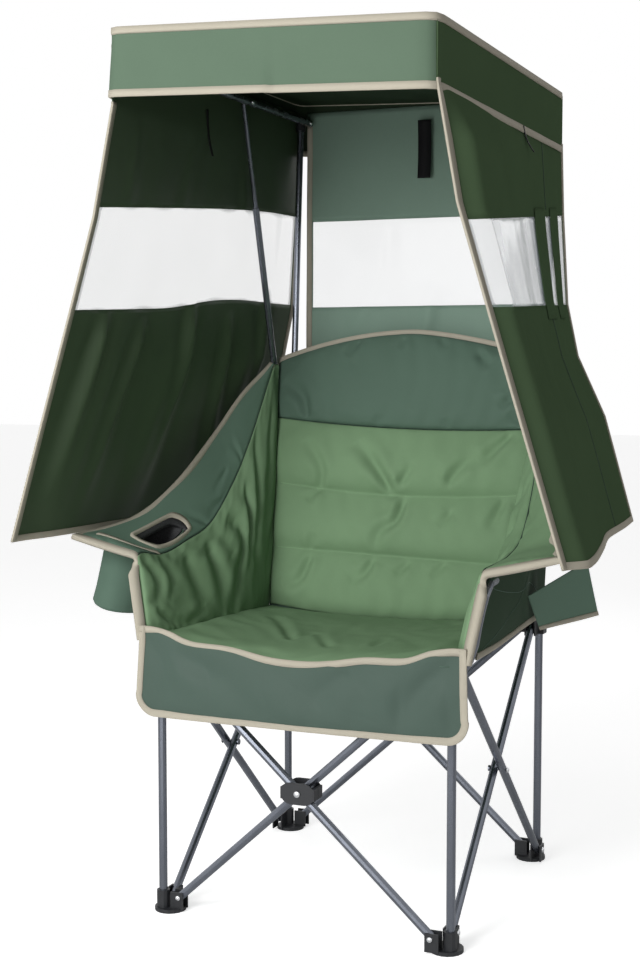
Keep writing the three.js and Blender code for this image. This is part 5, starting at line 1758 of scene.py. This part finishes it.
# Top and foot of the webbing strap and of the curtains' ties.
STRAP = ((0, 0.372, 1.553), (0, 0.371, 1.430))
TIES = {
    "left": ((-0.293, -0.071, 1.527), (-0.292, -0.052, 1.439)),
    "right": ((0.304, 0.067, 1.480), (0.313, 0.111, 1.436)),
}
STRAP_WIDTH = 0.029
TIE_WIDTH = 0.007
STRAP_THICK = 0.0014
STRAP_BOW = 0.004


def hanging_strap(name, top, foot, width, across):
    """A flat strap that hangs from top to foot, with a slight bow."""
    share = np.linspace(0, 1, 25)
    line = rows(*(mix(top[k], foot[k], share) for k in range(3)))
    across = np.array(across) * width / 2
    face = unit(np.cross(across, foot - np.array(top)))
    line = line + np.outer(STRAP_BOW * hump(share), face)
    thick = face * STRAP_THICK
    rings = [np.array([p - across, p - across + thick, p + across + thick, p + across]) for p in line]
    return dress(sweep(name, rings), "strap")


class CHAIR_OT_straps(bpy.types.Operator):
    """Make the webbing strap and the ties inside the canopy."""

    bl_idname = "chair.straps"
    bl_label = "Straps"

    def execute(self, context):
        ride_fold_x("rear_left_leg", hanging_strap("canopy_strap", *STRAP, STRAP_WIDTH, (1, 0, 0)))
        for word, ends in TIES.items():
            ride_curtain(word, hanging_strap(word + "_curtain_tie", *ends, TIE_WIDTH, (0, 1, 0)))
        return {"FINISHED"}


# Each light's name, place, size in metres, power in watts, and the point it is turned to.
LIGHTS = (
    ("key_light", (-0.8, -3.0, 2.0), 1.5, 84, (0, 0, 0.8)),
    ("low_light", (-0.5, -3.2, 0.6), 1.2, 16, (0, 0, 1.1)),
    ("fill_light", (1.2, -3.4, 1.0), 2.2, 4, (0, 0, 0.7)),
    ("rear_light", (0.6, 2.8, 2.6), 2.0, 12, (0, 0, 1.0)),
)
SKY_STRENGTH = 0.33
FLOOR_GLOW = 0.58
# The camera that was fitted to the photo: its place, its tilt and turn in degrees, and its lens in millimetres.
CAMERA_PLACE = (1.100, -2.820, 1.029)
CAMERA_TILT = 85.597
CAMERA_TURN = 22.805
CAMERA_LENS = 57.57


class CHAIR_OT_stage(bpy.types.Operator):
    """Make the floor, the light and the camera."""

    bl_idname = "chair.stage"
    bl_label = "Stage"

    def execute(self, context):
        bpy.ops.object.select_all(action="DESELECT")
        bpy.ops.mesh.primitive_plane_add(size=40, location=(0, 0, 0))
        floor = context.object
        floor.name = "floor"
        n = Finish("floor_white")
        n.tint(n.noise(2.0), (0.86, 0.86, 0.86), (0.9, 0.9, 0.9))
        n.fix(Roughness=0.9, Emission_Color=(1, 1, 1, 1))
        seen = n.add("ShaderNodeLightPath").outputs["Is Camera Ray"]
        n.join(n.math("MULTIPLY", seen, FLOOR_GLOW), "Emission Strength")
        floor.data.materials.append(n.material)

        # The sky lights the chair softly, but is seen, reflected and refracted as white.
        world = bpy.data.worlds.new("studio")
        context.scene.world = world
        world.use_nodes = True
        sky = Nodes(world.node_tree)
        light = world.node_tree.nodes["Background"]
        light.inputs["Color"].default_value = (1, 1, 1, 1)
        light.inputs["Strength"].default_value = SKY_STRENGTH
        seen = sky.add("ShaderNodeBackground", {"Color": (1, 1, 1, 1), "Strength": 1.0})
        ray = sky.add("ShaderNodeLightPath").outputs
        glossy = sky.math("MAXIMUM", ray["Is Camera Ray"], ray["Is Glossy Ray"])
        through = sky.math("MAXIMUM", glossy, ray["Is Transmission Ray"])
        blend = sky.add("ShaderNodeMixShader", {0: through, 1: light.outputs[0], 2: seen.outputs[0]})
        world.node_tree.links.new(blend.outputs[0], world.node_tree.nodes["World Output"].inputs["Surface"])

        for name, place, size, power, aim in LIGHTS:
            lamp = bpy.data.lights.new(name, "AREA")
            lamp.size = size
            lamp.energy = power
            holder = bpy.data.objects.new(name, lamp)
            context.scene.collection.objects.link(holder)
            holder.location = place
            holder.rotation_euler = (Vector(aim) - Vector(place)).to_track_quat("-Z", "Y").to_euler()

        camera = bpy.data.cameras.new("photo_camera")
        camera.lens = CAMERA_LENS
        camera.sensor_width = 36
        camera.sensor_fit = "AUTO"
        holder = bpy.data.objects.new("photo_camera", camera)
        context.scene.collection.objects.link(holder)
        holder.location = (CAMERA_PLACE[0], CAMERA_PLACE[1] + MIDDLE_Y, CAMERA_PLACE[2])
        holder.rotation_euler = (math.radians(CAMERA_TILT), 0, math.radians(CAMERA_TURN))
        context.scene.camera = holder
        context.scene.view_settings.view_transform = "Standard"
        return {"FINISHED"}


OPERATORS = (
    CHAIR_OT_finishes,
    CHAIR_OT_seat,
    CHAIR_OT_back,
    CHAIR_OT_arms,
    CHAIR_OT_canopy,
    CHAIR_OT_fasteners,
    CHAIR_OT_straps,
    CHAIR_OT_stage,
)


class CHAIR_PT_panel(bpy.types.Panel):
    """Lists the chair's steps in order."""

    bl_label = "Chair"
    bl_idname = "CHAIR_PT_panel"
    bl_space_type = "VIEW_3D"
    bl_region_type = "UI"
    bl_category = "Chair"

    def draw(self, context):
        for settings in (context.scene.chair_sizes, context.scene.chair_colours):
            for name in settings.__annotations__:
                self.layout.prop(settings, name)
        for operator in OPERATORS:
            self.layout.operator(operator.bl_idname)


CLASSES = (ChairSizes, ChairColours, *OPERATORS, CHAIR_PT_panel)


def register():
    """Registers the classes and their settings."""
    for item in CLASSES:
        bpy.utils.register_class(item)
    bpy.types.Scene.chair_sizes = bpy.props.PointerProperty(type=ChairSizes)
    bpy.types.Scene.chair_colours = bpy.props.PointerProperty(type=ChairColours)


def unregister():
    """Takes the classes and settings away again."""
    del bpy.types.Scene.chair_colours
    del bpy.types.Scene.chair_sizes
    for item in reversed(CLASSES):
        bpy.utils.unregister_class(item)


def main():
    """Runs every step in order."""
    register()
    for operator in OPERATORS:
        group, name = operator.bl_idname.split(".")
        getattr(getattr(bpy.ops, group), name)()


if __name__ == "__main__":
    main()
